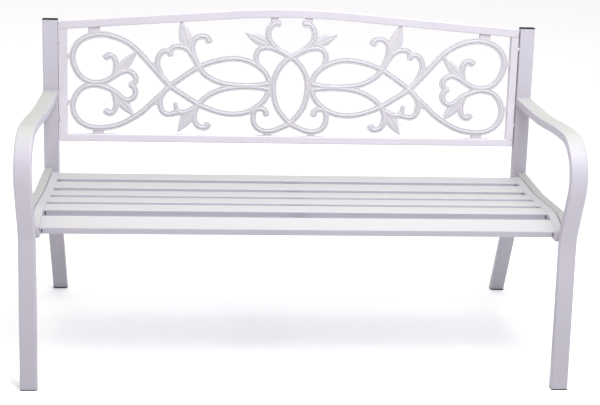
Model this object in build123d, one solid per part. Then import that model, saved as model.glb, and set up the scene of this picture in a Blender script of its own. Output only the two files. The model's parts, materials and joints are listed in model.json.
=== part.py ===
"""Garden bench with tube side frames, a bolt-on slatted seat and a scroll back.

Millimetres. The bench stands on Z = 0 and faces -Y. X runs along the seat, and
"left" and "right" are as seen by someone who stands in front of it. The origin is
on the floor, under the middle of the bench.
"""

import os
from math import atan, cos, radians, sin

from build123d import *

# ---- driving dimensions ------------------------------------------------------
BENCH_WIDTH = 1320.0
FOOT_REACH = 333.0          # from the middle to the outer edge of a foot, along Y

TUBE_WIDE = 40.0            # side frame tube, along X
TUBE_DEEP = 22.0
TUBE_CORNER = 4.0
TUBE_WALL = 1.5

LEG_LEAN = 0.119            # rearward travel per unit of height
KNEE_HEIGHT = 372.0
KNEE_RADIUS = 110.0
ARM_CORNER_Y = -344.5
ARM_CORNER_RADIUS = 94.0
ARM_CREST_HEIGHT = 620.0
ARM_REST_HEIGHT = 605.5
ARM_FALL_Y = (-157.0, -6.0)     # where the arm starts and stops falling
ARM_FALL_RADIUS = 1000.0

POST_LEAN = 0.096
POST_FACE_Y = 186.0         # front face of the post at seat height
POST_LENGTH = 394.5         # from seat height to the cap, along the post
SEAT_HEIGHT = 400.0
REAR_LEG_SPLAY = 0.373
POST_BEND_RADIUS = 120.0

RAIL_TALL = 30.0
RAIL_CORNER = 3.0
FRAME_RAIL_WIDE = 23.0
FRAME_RAIL_INSET = 0.5      # its outer side, in from the tubes' outer side
PANEL_RAIL_WIDE = 22.0
SEAT_GAP = 1.5              # between a frame rail and the seat panel's own rail
SADDLE_RADIUS = 18.0        # blend from the frame rail up to the post
SADDLE_INSET = 4.5          # from each side of the frame rail
SADDLE_SUNK = 6.0           # how far the blend reaches inside the rail and the post

# the seat's top line from back to front: points in (Y, Z)
SEAT_BACK = (152.0, 397.2)
SEAT_HOLLOW = (5.0, 393.5)
SEAT_CREST = (-188.0, 408.5)
SEAT_LIP = (-266.0, 383.8)
SEAT_HOLLOW_RADIUS = 300.0
SEAT_CREST_RADIUS = 105.0
LIP_RADIUS = 17.0
LIP_DROP = 24.0

SLAT_COUNT = 6
SLAT_WIDE = 50.0
SLAT_PITCH = 72.0
SLAT_DEEP = 18.0
SLAT_CORNER = 2.5
SLAT_WALL = 1.2
SLAT_BACK_Y = 145.0
VENT_WIDE = 3.0             # drain slot near each end of a slat
VENT_TALL = 10.0
VENT_INSET = 5.0
BRACE_WIDE = 30.0
BRACE_THICK = 5.0
BRACE_CORNER = 0.8
BRACE_FRONT_Y = -240.0      # hidden behind the front slat's edge

PANEL_BOTTOM = 71.5         # up the post plane from seat height
PANEL_GAP = 3.0             # between a post and the back panel
BAR = 20.0
BAR_CORNER = 2.0
TOP_BAR_TALL = 22.0
PANEL_END_TALL = 320.5      # height of the panel at its ends
PANEL_SHOULDER_TALL = 357.0
SHOULDER_X = 150.0
PANEL_PEAK_TALL = 362.5

CASTING_THICK = 11.0
CASTING_SETBACK = 1.0
STROKE = 17.0               # width of a scroll stroke
LEAF_BELLY = 0.42           # where along its length a leaf's sides are bowed out
PAD_Y = (104.0, 228.0)      # pads that join the casting to the stiles
PAD_TALL = 13.0
PAD_REACH = 17.0            # inwards from a stile's middle

CAP_THICK = 3.8
CAP_ROUND = 1.4
GLIDE_THICK = 3.0
PLUG_DEPTH = 16.0

BOLT_D = 6.0
BOLT_HOLE_D = 6.6
ACCESS_HOLE_D = 16.0        # in a post's outer wall, for a back bolt's head
HEAD_D = 12.0
HEAD_TALL = 3.6
HEAD_ROUND = 2.5
SOCKET_ACROSS = 4.0
SOCKET_DEEP = 2.2
BOLT_PAST_NUT = 2.0
WASHER_D = 14.0
WASHER_THICK = 1.2
NUT_ACROSS = 10.0
NUT_THICK = 5.0
NUT_BORE_D = 6.1
SEAT_BOLT_Y = (116.0, -215.0)
BACK_BOLT_UP = (130.0, 338.0)   # up the post plane from seat height

# how far a shape runs past the place where it is cut off
PAST = 50.0
PAST_LIP = 16.0             # a frame rail's end past the lip corner
PAST_WALL = 1.0

# ---- worked out from those ---------------------------------------------------
OUTER_X = BENCH_WIDTH / 2
TUBE_X = OUTER_X - TUBE_WIDE / 2
POST_UP = Vector(0, sin(atan(POST_LEAN)), cos(atan(POST_LEAN)))
POST_FRONT = Vector(0, -POST_UP.Z, POST_UP.Y)
POST_FACE = Vector(0, POST_FACE_Y, SEAT_HEIGHT)
RAIL_OUTER_X = OUTER_X - FRAME_RAIL_INSET
FRAME_RAIL_X = RAIL_OUTER_X - FRAME_RAIL_WIDE / 2
PANEL_RAIL_X = RAIL_OUTER_X - FRAME_RAIL_WIDE - SEAT_GAP - PANEL_RAIL_WIDE / 2
SLAT_END_X = PANEL_RAIL_X - PANEL_RAIL_WIDE / 2
PANEL_END_X = OUTER_X - TUBE_WIDE - PANEL_GAP
STILE_X = PANEL_END_X - BAR / 2
BAR_FRONT = (TUBE_DEEP - BAR) / 2
BIG = 3000.0


# ---- helpers -----------------------------------------------------------------
def point_at(x, flat):
    """The 3-D point at X = x for a side-view point (Y, Z)."""
    return Vector(x, flat[0], flat[1])


def offset_line(points, distance):
    """A side-view line moved sideways, to the right of its direction."""
    moved = []
    rays = []
    for start, end in zip(points[:-1], points[1:]):
        along = Vector(end[0] - start[0], end[1] - start[1]).normalized()
        aside = Vector(along.Y, -along.X) * distance
        rays.append((Vector(*start) + aside, along))
    first_origin, _ = rays[0]
    moved.append((first_origin.X, first_origin.Y))
    for (origin_a, along_a), (origin_b, along_b) in zip(rays[:-1], rays[1:]):
        cross = along_a.X * along_b.Y - along_a.Y * along_b.X
        step = origin_b - origin_a
        reach = (step.X * along_b.Y - step.Y * along_b.X) / cross
        corner = origin_a + along_a * reach
        moved.append((corner.X, corner.Y))
    last_origin, last_along = rays[-1]
    length = (Vector(*points[-1]) - Vector(*points[-2])).length
    end = last_origin + last_along * length
    moved.append((end.X, end.Y))
    return moved


def bent_bar(x, line, radii, wide, deep, corner):
    """A rounded rectangular bar carried along a bent side-view line."""
    path = FilletPolyline(*[point_at(x, p) for p in line], radius=radii)
    start = Plane(origin=path @ 0, x_dir=(1, 0, 0), z_dir=path % 0)
    return sweep(start * RectangleRounded(wide, deep, corner), path=path)


def bent_tube(x, line, radii, wide, deep, corner, wall):
    """The outer and the inner solid of a tube along a bent side-view line."""
    outer = bent_bar(x, line, radii, wide, deep, corner)
    inner = bent_bar(x, line, radii, wide - 2 * wall, deep - 2 * wall, corner - wall / 2)
    return outer, inner


def slab(z_low, z_high):
    """Everything between two heights."""
    return Pos(0, 0, (z_low + z_high) / 2) * Box(BIG, BIG, z_high - z_low)


def rod_along_x(x_from, x_to, diameter, at):
    """A round rod that lies along X through the side-view point at."""
    middle = Pos((x_from + x_to) / 2, at[0], at[1]) * Rot(0, 90, 0)
    return middle * Cylinder(diameter / 2, abs(x_to - x_from))


def solid_of(shape):
    """The largest solid of a shape."""
    return max(shape.solids(), key=lambda piece: piece.volume)


def write(name, *pieces):
    """Save the solids of one node."""
    solids = [piece for shape in pieces for piece in shape.solids()]
    node = solids[0] if len(solids) == 1 else Compound(children=solids)
    node.label = name
    export_step(node, os.path.join("parts", name + ".step"))


def write_pair(name, right):
    """Save a right-hand piece and its mirror image."""
    write(name + "_right", right)
    write(name + "_left", mirror(right, about=Plane.YZ))


def both_sides(pieces):
    """A list of right-hand pieces with their mirror images."""
    return pieces + [mirror(piece, about=Plane.YZ) for piece in pieces]


# ---- lines the pieces follow -------------------------------------------------
def arm_leg_line():
    """Centre line of the front leg and arm, from under the foot to the post."""
    foot_y = -FOOT_REACH + TUBE_DEEP / 2 / cos(atan(LEG_LEAN))
    crest = ARM_CREST_HEIGHT - TUBE_DEEP / 2
    rest = ARM_REST_HEIGHT - TUBE_DEEP / 2
    return [
        (foot_y - LEG_LEAN * PAST, -PAST),
        (foot_y + LEG_LEAN * KNEE_HEIGHT, KNEE_HEIGHT),
        (ARM_CORNER_Y, crest),
        (ARM_FALL_Y[0], crest),
        (ARM_FALL_Y[1], rest),
        (POST_FACE_Y + POST_LEAN * (rest - SEAT_HEIGHT) + TUBE_DEEP / 2, rest),
    ]


def post_leg_line():
    """Centre line of the back post and rear leg, from the cap down past the floor."""
    top = POST_FACE + POST_UP * POST_LENGTH
    leg_face_y = FOOT_REACH - TUBE_DEEP / cos(atan(REAR_LEG_SPLAY))
    bend_z = (leg_face_y - POST_FACE_Y + POST_LEAN * SEAT_HEIGHT) / (POST_LEAN + REAR_LEG_SPLAY)
    face = [
        (top.Y, top.Z),
        (leg_face_y - REAR_LEG_SPLAY * bend_z, bend_z),
        (leg_face_y + REAR_LEG_SPLAY * PAST, -PAST),
    ]
    return offset_line(face, -TUBE_DEEP / 2)


def seat_top_line():
    """Top line of the seat, from its back edge to the lip."""
    radii = [SEAT_HOLLOW_RADIUS, SEAT_CREST_RADIUS]
    corners = [SEAT_BACK, SEAT_HOLLOW, SEAT_CREST, SEAT_LIP]
    return FilletPolyline(*[point_at(0, p) for p in corners], radius=radii)


def seat_height_at(line, y):
    """Height of the seat's top line at one Y, by halving."""
    low, high = 0.0, 1.0
    for _ in range(40):
        middle = (low + high) / 2
        if (line @ middle).Y > y:
            low = middle
        else:
            high = middle
    return (line @ low).Z


# ---- side frames -------------------------------------------------------------
def make_arm_leg(post_outer):
    """Front leg and arm in one bent tube: its hollow solid, outer and inner form."""
    radii = [KNEE_RADIUS, ARM_CORNER_RADIUS, ARM_FALL_RADIUS, ARM_FALL_RADIUS]
    outer, inner = bent_tube(TUBE_X, arm_leg_line(), radii, TUBE_WIDE, TUBE_DEEP, TUBE_CORNER, TUBE_WALL)
    tube = solid_of((outer - inner - post_outer) & slab(GLIDE_THICK, BIG))
    return tube, outer, inner


def make_post_leg():
    """Back post and rear leg in one bent tube: its hollow solid, outer and inner form."""
    line = post_leg_line()
    outer, inner = bent_tube(TUBE_X, line, [POST_BEND_RADIUS], TUBE_WIDE, TUBE_DEEP, TUBE_CORNER, TUBE_WALL)
    tube = (outer - inner) & slab(GLIDE_THICK, BIG)
    for up in BACK_BOLT_UP:
        at = post_point(up)
        tube -= rod_along_x(OUTER_X + PAST_WALL, TUBE_X, ACCESS_HOLE_D, at)
        tube -= rod_along_x(TUBE_X, OUTER_X - TUBE_WIDE - PAST_WALL, BOLT_HOLE_D, at)
    return solid_of(tube), outer, inner


def post_point(up):
    """Side-view point in the middle of a post, a distance up from seat height."""
    middle = POST_FACE + POST_UP * up - POST_FRONT * (TUBE_DEEP / 2)
    return (middle.Y, middle.Z)


def make_frame_rail(arm_outer, post_outer):
    """Seat rail of a side frame, blended up to the post and cut to both tubes."""
    back = (SEAT_BACK[0] + PAST, SEAT_BACK[1] + PAST * seat_back_slope())
    front = (SEAT_LIP[0] - PAST_LIP, SEAT_LIP[1] - PAST_LIP * lip_slope())
    line = offset_line([back, SEAT_HOLLOW, SEAT_CREST, front], -RAIL_TALL / 2)
    radii = [SEAT_HOLLOW_RADIUS, SEAT_CREST_RADIUS - RAIL_TALL / 2]
    outer, inner = bent_tube(FRAME_RAIL_X, line, radii, FRAME_RAIL_WIDE, RAIL_TALL, RAIL_CORNER, TUBE_WALL)
    rail = outer + make_saddle() - inner - post_outer - arm_outer
    inside = RAIL_OUTER_X - FRAME_RAIL_WIDE
    for y in SEAT_BOLT_Y:
        rail -= rod_along_x(RAIL_OUTER_X + PAST_WALL, inside - PAST_WALL, BOLT_HOLE_D, seat_bolt_point(y))
    return solid_of(rail)


def seat_back_slope():
    """Rise of the seat's top line towards the back."""
    return (SEAT_BACK[1] - SEAT_HOLLOW[1]) / (SEAT_BACK[0] - SEAT_HOLLOW[0])


def lip_slope():
    """Rise of the seat's top line from the lip to the crest."""
    return (SEAT_CREST[1] - SEAT_LIP[1]) / (SEAT_CREST[0] - SEAT_LIP[0])


def make_saddle():
    """Concave web between the frame rail's top and the post's face."""
    rail_z = SEAT_BACK[1] + seat_back_slope() * (POST_FACE_Y - SEAT_BACK[0])
    behind_y = POST_FACE_Y + SADDLE_SUNK
    below_z = rail_z - SADDLE_SUNK
    bow_in = SADDLE_RADIUS * (1 - cos(radians(45)))
    low = Vector(0, POST_FACE_Y - SADDLE_RADIUS, rail_z)
    high = Vector(0, POST_FACE_Y + POST_LEAN * SADDLE_RADIUS, rail_z + SADDLE_RADIUS)
    bow = Vector(0, POST_FACE_Y - bow_in, rail_z + bow_in)
    outline = ThreePointArc(low, bow, high)
    outline += Polyline(high, (0, behind_y, high.Z), (0, behind_y, below_z), (0, low.Y, below_z), low)
    web = extrude(make_face(outline), amount=FRAME_RAIL_WIDE - 2 * SADDLE_INSET, dir=(1, 0, 0))
    return Pos(FRAME_RAIL_X - FRAME_RAIL_WIDE / 2 + SADDLE_INSET, 0, 0) * web


def seat_bolt_point(y):
    """Side-view point of a seat bolt: half way down the rails."""
    return (y, seat_height_at(seat_top_line(), y) - RAIL_TALL / 2)


def make_glide(outer, inner):
    """Foot plug: a thin pad under the tube's end and a stem inside it."""
    pad = outer & slab(0, GLIDE_THICK)
    stem = inner & slab(GLIDE_THICK, GLIDE_THICK + PLUG_DEPTH)
    return solid_of(pad + stem)


def make_cap():
    """Post cap: a thin plate over the tube's end and a plug inside it."""
    top = POST_FACE + POST_UP * POST_LENGTH - POST_FRONT * (TUBE_DEEP / 2)
    end = Plane(origin=(TUBE_X, top.Y, top.Z), x_dir=(1, 0, 0), z_dir=POST_UP)
    plate = extrude(end * RectangleRounded(TUBE_WIDE, TUBE_DEEP, TUBE_CORNER), amount=CAP_THICK)
    inner_wide = TUBE_WIDE - 2 * TUBE_WALL
    inner_deep = TUBE_DEEP - 2 * TUBE_WALL
    inside = RectangleRounded(inner_wide, inner_deep, TUBE_CORNER - TUBE_WALL / 2)
    plug = extrude(end * inside, amount=-PLUG_DEPTH)
    top_edges = plate.edges().group_by(Axis((0, 0, 0), POST_UP))[-1]
    return solid_of(fillet(top_edges, CAP_ROUND) + plug)


# ---- seat --------------------------------------------------------------------
def make_panel_rail():
    """Seat panel's side rail, which follows the seat and turns down at the lip."""
    drop = (SEAT_LIP[0], SEAT_LIP[1] - LIP_DROP)
    line = offset_line([SEAT_BACK, SEAT_HOLLOW, SEAT_CREST, SEAT_LIP, drop], -RAIL_TALL / 2)
    radii = [SEAT_HOLLOW_RADIUS, SEAT_CREST_RADIUS - RAIL_TALL / 2, LIP_RADIUS]
    outer, inner = bent_tube(PANEL_RAIL_X, line, radii, PANEL_RAIL_WIDE, RAIL_TALL, RAIL_CORNER, TUBE_WALL)
    rail = outer - inner
    outside = PANEL_RAIL_X + PANEL_RAIL_WIDE / 2
    inside = outside - TUBE_WALL
    for y in SEAT_BOLT_Y:
        rail -= rod_along_x(outside + PAST_WALL, inside - PAST_WALL, BOLT_HOLE_D, seat_bolt_point(y))
    return solid_of(rail)


def slat_plane(index):
    """Plane on top of a slat: its origin mid-way, x along the bench, z upwards."""
    line = seat_top_line()
    back_y = SLAT_BACK_Y - index * SLAT_PITCH
    front_y = back_y - SLAT_WIDE
    back = Vector(0, back_y, seat_height_at(line, back_y))
    front = Vector(0, front_y, seat_height_at(line, front_y))
    return Plane(origin=(back + front) / 2, x_dir=(1, 0, 0), z_dir=Vector(1, 0, 0).cross(back - front))


def make_slat(index):
    """One seat slat: a flat closed tube with a drain slot near each end."""
    top = slat_plane(index)
    section = RectangleRounded(SLAT_WIDE, SLAT_DEEP, SLAT_CORNER)
    inner_wide = SLAT_WIDE - 2 * SLAT_WALL
    inner_deep = SLAT_DEEP - 2 * SLAT_WALL
    hollow = RectangleRounded(inner_wide, inner_deep, SLAT_CORNER - SLAT_WALL / 2)
    cross = Plane(origin=top.origin - top.z_dir * (SLAT_DEEP / 2), x_dir=top.y_dir, z_dir=(1, 0, 0))
    slat = extrude(cross * (section - hollow), amount=SLAT_END_X, both=True)
    for side in (-1, 1):
        vent = Box(VENT_WIDE, 3 * SLAT_WALL, VENT_TALL)
        at = Pos(side * (SLAT_END_X - VENT_INSET), -SLAT_WIDE / 2, -SLAT_DEEP / 2)
        slat -= top.location * at * vent
    return solid_of(slat)


def make_brace(slats):
    """Strap across the slats' undersides in the middle of the bench."""
    below = SLAT_DEEP + BRACE_THICK / 2
    back = (SLAT_BACK_Y, SEAT_BACK[1] - seat_back_slope() * (SEAT_BACK[0] - SLAT_BACK_Y))
    front = (BRACE_FRONT_Y, SEAT_LIP[1] + lip_slope() * (BRACE_FRONT_Y - SEAT_LIP[0]))
    line = offset_line([back, SEAT_HOLLOW, SEAT_CREST, front], -below)
    radii = [SEAT_HOLLOW_RADIUS, SEAT_CREST_RADIUS - below]
    strap = bent_bar(0, line, radii, BRACE_WIDE, BRACE_THICK, BRACE_CORNER)
    for slat in slats:
        strap -= slat_block(slat)
    return solid_of(strap)


def slat_block(index):
    """The whole space of a slat, hollow and all."""
    top = slat_plane(index)
    return top.location * Pos(0, 0, -SLAT_DEEP / 2) * Box(2 * SLAT_END_X, SLAT_WIDE, SLAT_DEEP)


# ---- back panel --------------------------------------------------------------
def panel_plane(behind):
    """Plane of the back panel: x along the bench, y up the posts, z to the front."""
    origin = POST_FACE + POST_UP * PANEL_BOTTOM - POST_FRONT * behind
    return Plane(origin=origin, x_dir=(1, 0, 0), z_dir=POST_FRONT)


def panel_solid(face, front, deep):
    """A flat shape given depth, its front face set back from the posts' front."""
    return extrude(panel_plane(front) * face, amount=-deep)


def top_bar_face(margin):
    """The top bar's outline: straight sides that meet in a low arch."""
    drop = TOP_BAR_TALL - margin
    ends = PANEL_END_X
    upper = [(ends, PANEL_END_TALL - margin), (SHOULDER_X, PANEL_SHOULDER_TALL - margin)]
    lower = [(x, y + margin - drop) for x, y in upper]
    outline = ThreePointArc((-SHOULDER_X, upper[1][1]), (0, PANEL_PEAK_TALL - margin), upper[1])
    outline += Polyline(upper[1], upper[0], lower[0], lower[1])
    outline += ThreePointArc(lower[1], (0, PANEL_PEAK_TALL - drop), (-SHOULDER_X, lower[1][1]))
    mirrored = [(-x, y) for x, y in (lower[1], lower[0], upper[0], upper[1])]
    outline += Polyline(*mirrored)
    return make_face(outline)


def make_top_bar():
    """Arched top bar of the back panel, a tube that is open at its ends."""
    outer = panel_solid(top_bar_face(0), BAR_FRONT, BAR)
    long_edges = [edge for edge in outer.edges() if edge.length > 2 * TOP_BAR_TALL]
    outer = fillet(long_edges, BAR_CORNER)
    inner = panel_solid(top_bar_face(TUBE_WALL), BAR_FRONT + TUBE_WALL, BAR - 2 * TUBE_WALL)
    return solid_of(outer - inner)


def make_bottom_bar():
    """Straight bottom bar of the back panel."""
    section = panel_plane(BAR_FRONT + BAR / 2)
    cross = Plane(origin=section.origin + section.y_dir * (BAR / 2), x_dir=section.y_dir, z_dir=(1, 0, 0))
    outer = extrude(cross * RectangleRounded(BAR, BAR, BAR_CORNER), amount=PANEL_END_X, both=True)
    hole = RectangleRounded(BAR - 2 * TUBE_WALL, BAR - 2 * TUBE_WALL, BAR_CORNER / 2)
    inner = extrude(cross * hole, amount=PANEL_END_X, both=True)
    return solid_of(outer - inner)


def make_stile():
    """Upright of the back panel at the right-hand end, cut to the top bar."""
    foot = panel_plane(BAR_FRONT + BAR / 2)
    start = Plane(origin=foot.from_local_coords(Vector(STILE_X, BAR, 0)), x_dir=(1, 0, 0), z_dir=foot.y_dir)
    tall = PANEL_END_TALL - BAR
    outer = extrude(start * RectangleRounded(BAR, BAR, BAR_CORNER), amount=tall)
    hole = RectangleRounded(BAR - 2 * TUBE_WALL, BAR - 2 * TUBE_WALL, BAR_CORNER / 2)
    above = panel_solid(top_bar_space(), -TUBE_DEEP, 3 * TUBE_DEEP)
    stile = outer - extrude(start * hole, amount=tall) - above
    inside = PANEL_END_X - TUBE_WALL
    for up in BACK_BOLT_UP:
        stile -= rod_along_x(PANEL_END_X + PAST_WALL, inside - PAST_WALL, BOLT_HOLE_D, post_point(up))
    return solid_of(stile)


def top_bar_space():
    """Outline of the space that the top bar fills, and of all above it."""
    low_end = PANEL_END_TALL - TOP_BAR_TALL
    low_shoulder = PANEL_SHOULDER_TALL - TOP_BAR_TALL
    above = PANEL_PEAK_TALL + PAST
    slope = (low_shoulder - low_end) / (PANEL_END_X - SHOULDER_X)
    far = (PANEL_END_X + PAST, low_end - PAST * slope)
    outline = ThreePointArc((-SHOULDER_X, low_shoulder), (0, PANEL_PEAK_TALL - TOP_BAR_TALL),
                            (SHOULDER_X, low_shoulder))
    outline += Polyline((SHOULDER_X, low_shoulder), far, (far[0], above),
                        (-far[0], above), (-far[0], far[1]), (-SHOULDER_X, low_shoulder))
    return make_face(outline)


# ---- scroll casting ----------------------------------------------------------
# Strokes of the right-hand half, in the panel's own x and y. The left-hand half
# is their mirror image.
SCROLL_STROKES = [
    # upper eye line, crossing, lower end scroll, turned in to the lower heart lobe
    [(58, 168), (67, 189), (84, 206), (113, 222), (148, 229), (181, 226), (214, 218), (248, 204),
     (285, 180), (323, 152), (347, 129), (373, 105), (396, 83), (427, 62), (462, 45), (505, 37),
     (539, 40), (567, 56), (581, 80), (582, 101), (574, 124), (556, 144), (533, 152), (510, 151),
     (489, 144), (470, 134), (453, 120), (437, 113), (422, 119), (416, 136), (421, 148), (429, 154)],
    # lower eye line, crossing, upper end scroll, turned in to the upper heart lobe
    [(58, 142), (67, 122), (84, 104), (113, 86), (148, 79), (181, 81), (214, 90), (248, 104),
     (285, 127), (323, 152), (352, 181), (375, 207), (402, 237), (427, 260), (461, 278), (503, 287),
     (537, 282), (567, 264), (581, 237), (582, 220), (574, 194), (557, 171), (534, 160), (512, 159),
     (491, 165), (471, 177), (454, 187), (439, 191), (422, 184), (415, 168), (421, 158), (429, 154)],
    # inner line of the upper eye, carried up to the hooked sprig
    [(58, 163), (80, 159), (110, 157), (155, 158), (190, 164), (216, 175), (237, 191), (252, 214),
     (262, 240), (265, 262), (256, 280), (242, 287), (228, 285), (220, 273)],
    # inner line of the lower eye, carried down to the hooked sprig
    [(58, 147), (80, 151), (110, 153), (152, 151), (184, 145), (207, 136), (228, 123), (247, 104),
     (257, 84), (258, 64), (251, 48), (238, 41), (226, 43), (221, 51)],
    # cloud over the upper crossing
    [(248, 206), (266, 236), (280, 252), (297, 258), (313, 257), (323, 246), (323, 236)],
    [(323, 238), (331, 246), (343, 244), (354, 231), (358, 214), (354, 196), (344, 176), (330, 160)],
    # curl under the lower crossing
    [(262, 92), (276, 84), (296, 82), (306, 90), (309, 104)],
    [(296, 82), (312, 79), (329, 76), (344, 84), (350, 102), (349, 120), (341, 134), (332, 146)],
    # middle oval, which crosses over above into the top hook and below into the foot scroll
    [(64, 78), (67, 88), (76, 94), (88, 94), (97, 86), (99, 73), (98, 58), (87, 41), (63, 33),
     (44, 35), (24, 43), (0, 55), (-14, 69), (-30, 89), (-42, 117), (-46, 144), (-45, 169),
     (-37, 194), (-20, 219), (0, 235), (28, 251), (50, 268), (61, 286), (62, 303), (54, 318),
     (44, 325), (33, 324)],
    # hump between the top hook and the upper eye
    [(8, 238), (26, 248), (48, 257), (67, 260), (86, 254), (94, 238), (93, 221), (86, 208)],
    # hooks inside the end scrolls
    [(474, 176), (468, 194), (468, 212), (474, 227), (486, 232), (495, 225)],
    [(474, 132), (469, 114), (468, 97), (474, 82), (486, 77), (495, 84)],
]
# Leaves: base, tip, greatest width
SCROLL_LEAVES = [
    ((272, 242), (297, 330), 34),
    ((257, 100), (304, 26), 32),
    ((60, 268), (125, 299), 29),
    ((468, 182), (410, 246), 27),
    ((470, 126), (416, 68), 27),
    ((348, 190), (372, 216), 14),
    ((347, 122), (368, 98), 14),
]
# Lugs that join the casting to the bars: centre x, y from and to, width
SCROLL_LUGS = [
    (46, 326, PANEL_PEAK_TALL, 20),
    (525, 290, PANEL_PEAK_TALL, 28),
    (60, 10, 34, 22),
    (515, 10, 36, 28),
]


def stroke_face(points, width):
    """A strip of even width along a smooth line, with round ends."""
    line = Spline(*points)
    count = 4 * len(points)
    stations = [step / count for step in range(count + 1)]
    half = width / 2
    left = []
    right = []
    for station in stations:
        centre = line @ station
        along = line % station
        aside = Vector(-along.Y, along.X) * half
        left.append(centre + aside)
        right.append(centre - aside)
    head = line @ 0 - (line % 0) * half
    tail = line @ 1 + (line % 1) * half
    outline = Spline(*left) + ThreePointArc(left[-1], tail, right[-1])
    outline += Spline(*reversed(right)) + ThreePointArc(right[0], head, left[0])
    return make_face(outline)


def leaf_face(base, tip, width):
    """A pointed leaf: two bowed sides that meet at the tip."""
    start = Vector(*base)
    end = Vector(*tip)
    along = (end - start).normalized()
    aside = Vector(-along.Y, along.X) * (width / 2)
    middle = start + (end - start) * LEAF_BELLY
    return make_face(ThreePointArc(start, middle + aside, end) + ThreePointArc(end, middle - aside, start))


def lug_face(x, low, high, width):
    """A short straight lug."""
    return Pos(x, (low + high) / 2) * Rectangle(width, high - low)


def make_casting():
    """The scroll casting in one piece, cut to fit inside the bars."""
    half = stroke_face(SCROLL_STROKES[0], STROKE)
    for points in SCROLL_STROKES[1:]:
        half += stroke_face(points, STROKE)
    for leaf in SCROLL_LEAVES:
        half += leaf_face(*leaf)
    for lug in SCROLL_LUGS:
        half += lug_face(*lug)
    for y in PAD_Y:
        half += Pos(STILE_X - PAD_REACH, y) * Rectangle(BAR, PAD_TALL)
    whole = half + mirror(half, about=Plane.YZ)
    whole -= top_bar_space()
    whole -= Pos(0, BAR / 2) * Rectangle(2 * PANEL_END_X, BAR)
    for side in (-1, 1):
        whole -= Pos(side * STILE_X, PANEL_PEAK_TALL / 2) * Rectangle(BAR, PANEL_PEAK_TALL)
    return solid_of(panel_solid(whole, BAR_FRONT + CASTING_SETBACK, CASTING_THICK))


# ---- fasteners ---------------------------------------------------------------
def make_bolt(head_x, tip_x, at):
    """Domed bolt along X with its head outwards on a washer."""
    shank = rod_along_x(head_x, tip_x, BOLT_D, at)
    head = rod_along_x(head_x, head_x + HEAD_TALL, HEAD_D, at)
    rim = head.edges().sort_by(Axis.X)[-1]
    face = Pos(head_x + HEAD_TALL, at[0], at[1]) * Rot(0, -90, 0)
    socket = face * extrude(RegularPolygon(SOCKET_ACROSS / 2, 6, major_radius=False), amount=SOCKET_DEEP)
    return solid_of(shank + fillet(rim, HEAD_ROUND) - socket)


def make_washer(x_from, thick, at):
    """Flat ring along X around a bolt."""
    ring = rod_along_x(x_from, x_from + thick, WASHER_D, at)
    return solid_of(ring - rod_along_x(x_from - PAST_WALL, x_from + thick + PAST_WALL, BOLT_HOLE_D, at))


def make_nut(x_outer, at):
    """Hexagonal weld nut behind a tube's wall."""
    end = Pos(x_outer, at[0], at[1]) * Rot(0, -90, 0)
    block = end * extrude(RegularPolygon(NUT_ACROSS / 2, 6, major_radius=False), amount=NUT_THICK)
    bore = rod_along_x(x_outer + PAST_WALL, x_outer - NUT_THICK - PAST_WALL, NUT_BORE_D, at)
    return solid_of(block - bore)


def write_fasteners(name, points, outer_x, inner_x, gap):
    """Bolts, washers, spacers and weld nuts of one kind of joint, both sides."""
    bolts = []
    washers = []
    spacers = []
    nuts = []
    for at in points:
        tip = inner_x - TUBE_WALL - NUT_THICK - BOLT_PAST_NUT
        bolts.append(make_bolt(outer_x + WASHER_THICK, tip, at))
        washers.append(make_washer(outer_x, WASHER_THICK, at))
        spacers.append(make_washer(inner_x, gap, at))
        nuts.append(make_nut(inner_x - TUBE_WALL, at))
    write(name + "_bolts", *both_sides(bolts))
    write(name + "_bolt_washers", *both_sides(washers))
    write(name + "_bolt_spacers", *both_sides(spacers))
    write(name + "_weld_nuts", *both_sides(nuts))


# ---- everything --------------------------------------------------------------
def write_side_frames():
    """Both side frames with their caps and glides."""
    post, post_outer, post_inner = make_post_leg()
    arm, arm_outer, arm_inner = make_arm_leg(post_outer)
    write_pair("arm_and_front_leg", arm)
    write_pair("back_post_and_rear_leg", post)
    write_pair("frame_seat_rail", make_frame_rail(arm_outer, post_outer))
    write_pair("post_cap", make_cap())
    write_pair("front_foot_glide", make_glide(arm_outer, arm_inner))
    write_pair("rear_foot_glide", make_glide(post_outer, post_inner))


def write_seat():
    """Seat panel: side rails, slats and brace."""
    write_pair("seat_panel_rail", make_panel_rail())
    for index in range(SLAT_COUNT):
        write("seat_slat_" + str(index + 1), make_slat(index))
    write("seat_centre_brace", make_brace(range(SLAT_COUNT)))


def write_back():
    """Back panel: bars, stiles and scroll casting."""
    write("back_top_bar", make_top_bar())
    write("back_bottom_bar", make_bottom_bar())
    write_pair("back_stile", make_stile())
    write("back_scroll_casting", make_casting())


def main():
    """Write every node of the bench."""
    os.makedirs("parts", exist_ok=True)
    write_side_frames()
    write_seat()
    write_back()
    seat_points = [seat_bolt_point(y) for y in SEAT_BOLT_Y]
    write_fasteners("seat", seat_points, RAIL_OUTER_X, PANEL_RAIL_X + PANEL_RAIL_WIDE / 2, SEAT_GAP)
    back_points = [post_point(up) for up in BACK_BOLT_UP]
    write_fasteners("back", back_points, OUTER_X - TUBE_WIDE + TUBE_WALL, PANEL_END_X, PANEL_GAP)


main()
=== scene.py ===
"""Looks of a garden bench: bent tube side frames, a slatted seat and a scroll back.

Metres. The bench stands on Z = 0 and faces -Y, X runs along the seat, and the right
side is at +X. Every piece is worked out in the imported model's own frame, so nothing
is fitted afterwards.
"""

import json
import logging
import math
from dataclasses import dataclass, field
from enum import Enum

import bpy
import numpy as np
from mathutils import Matrix, Vector


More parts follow.
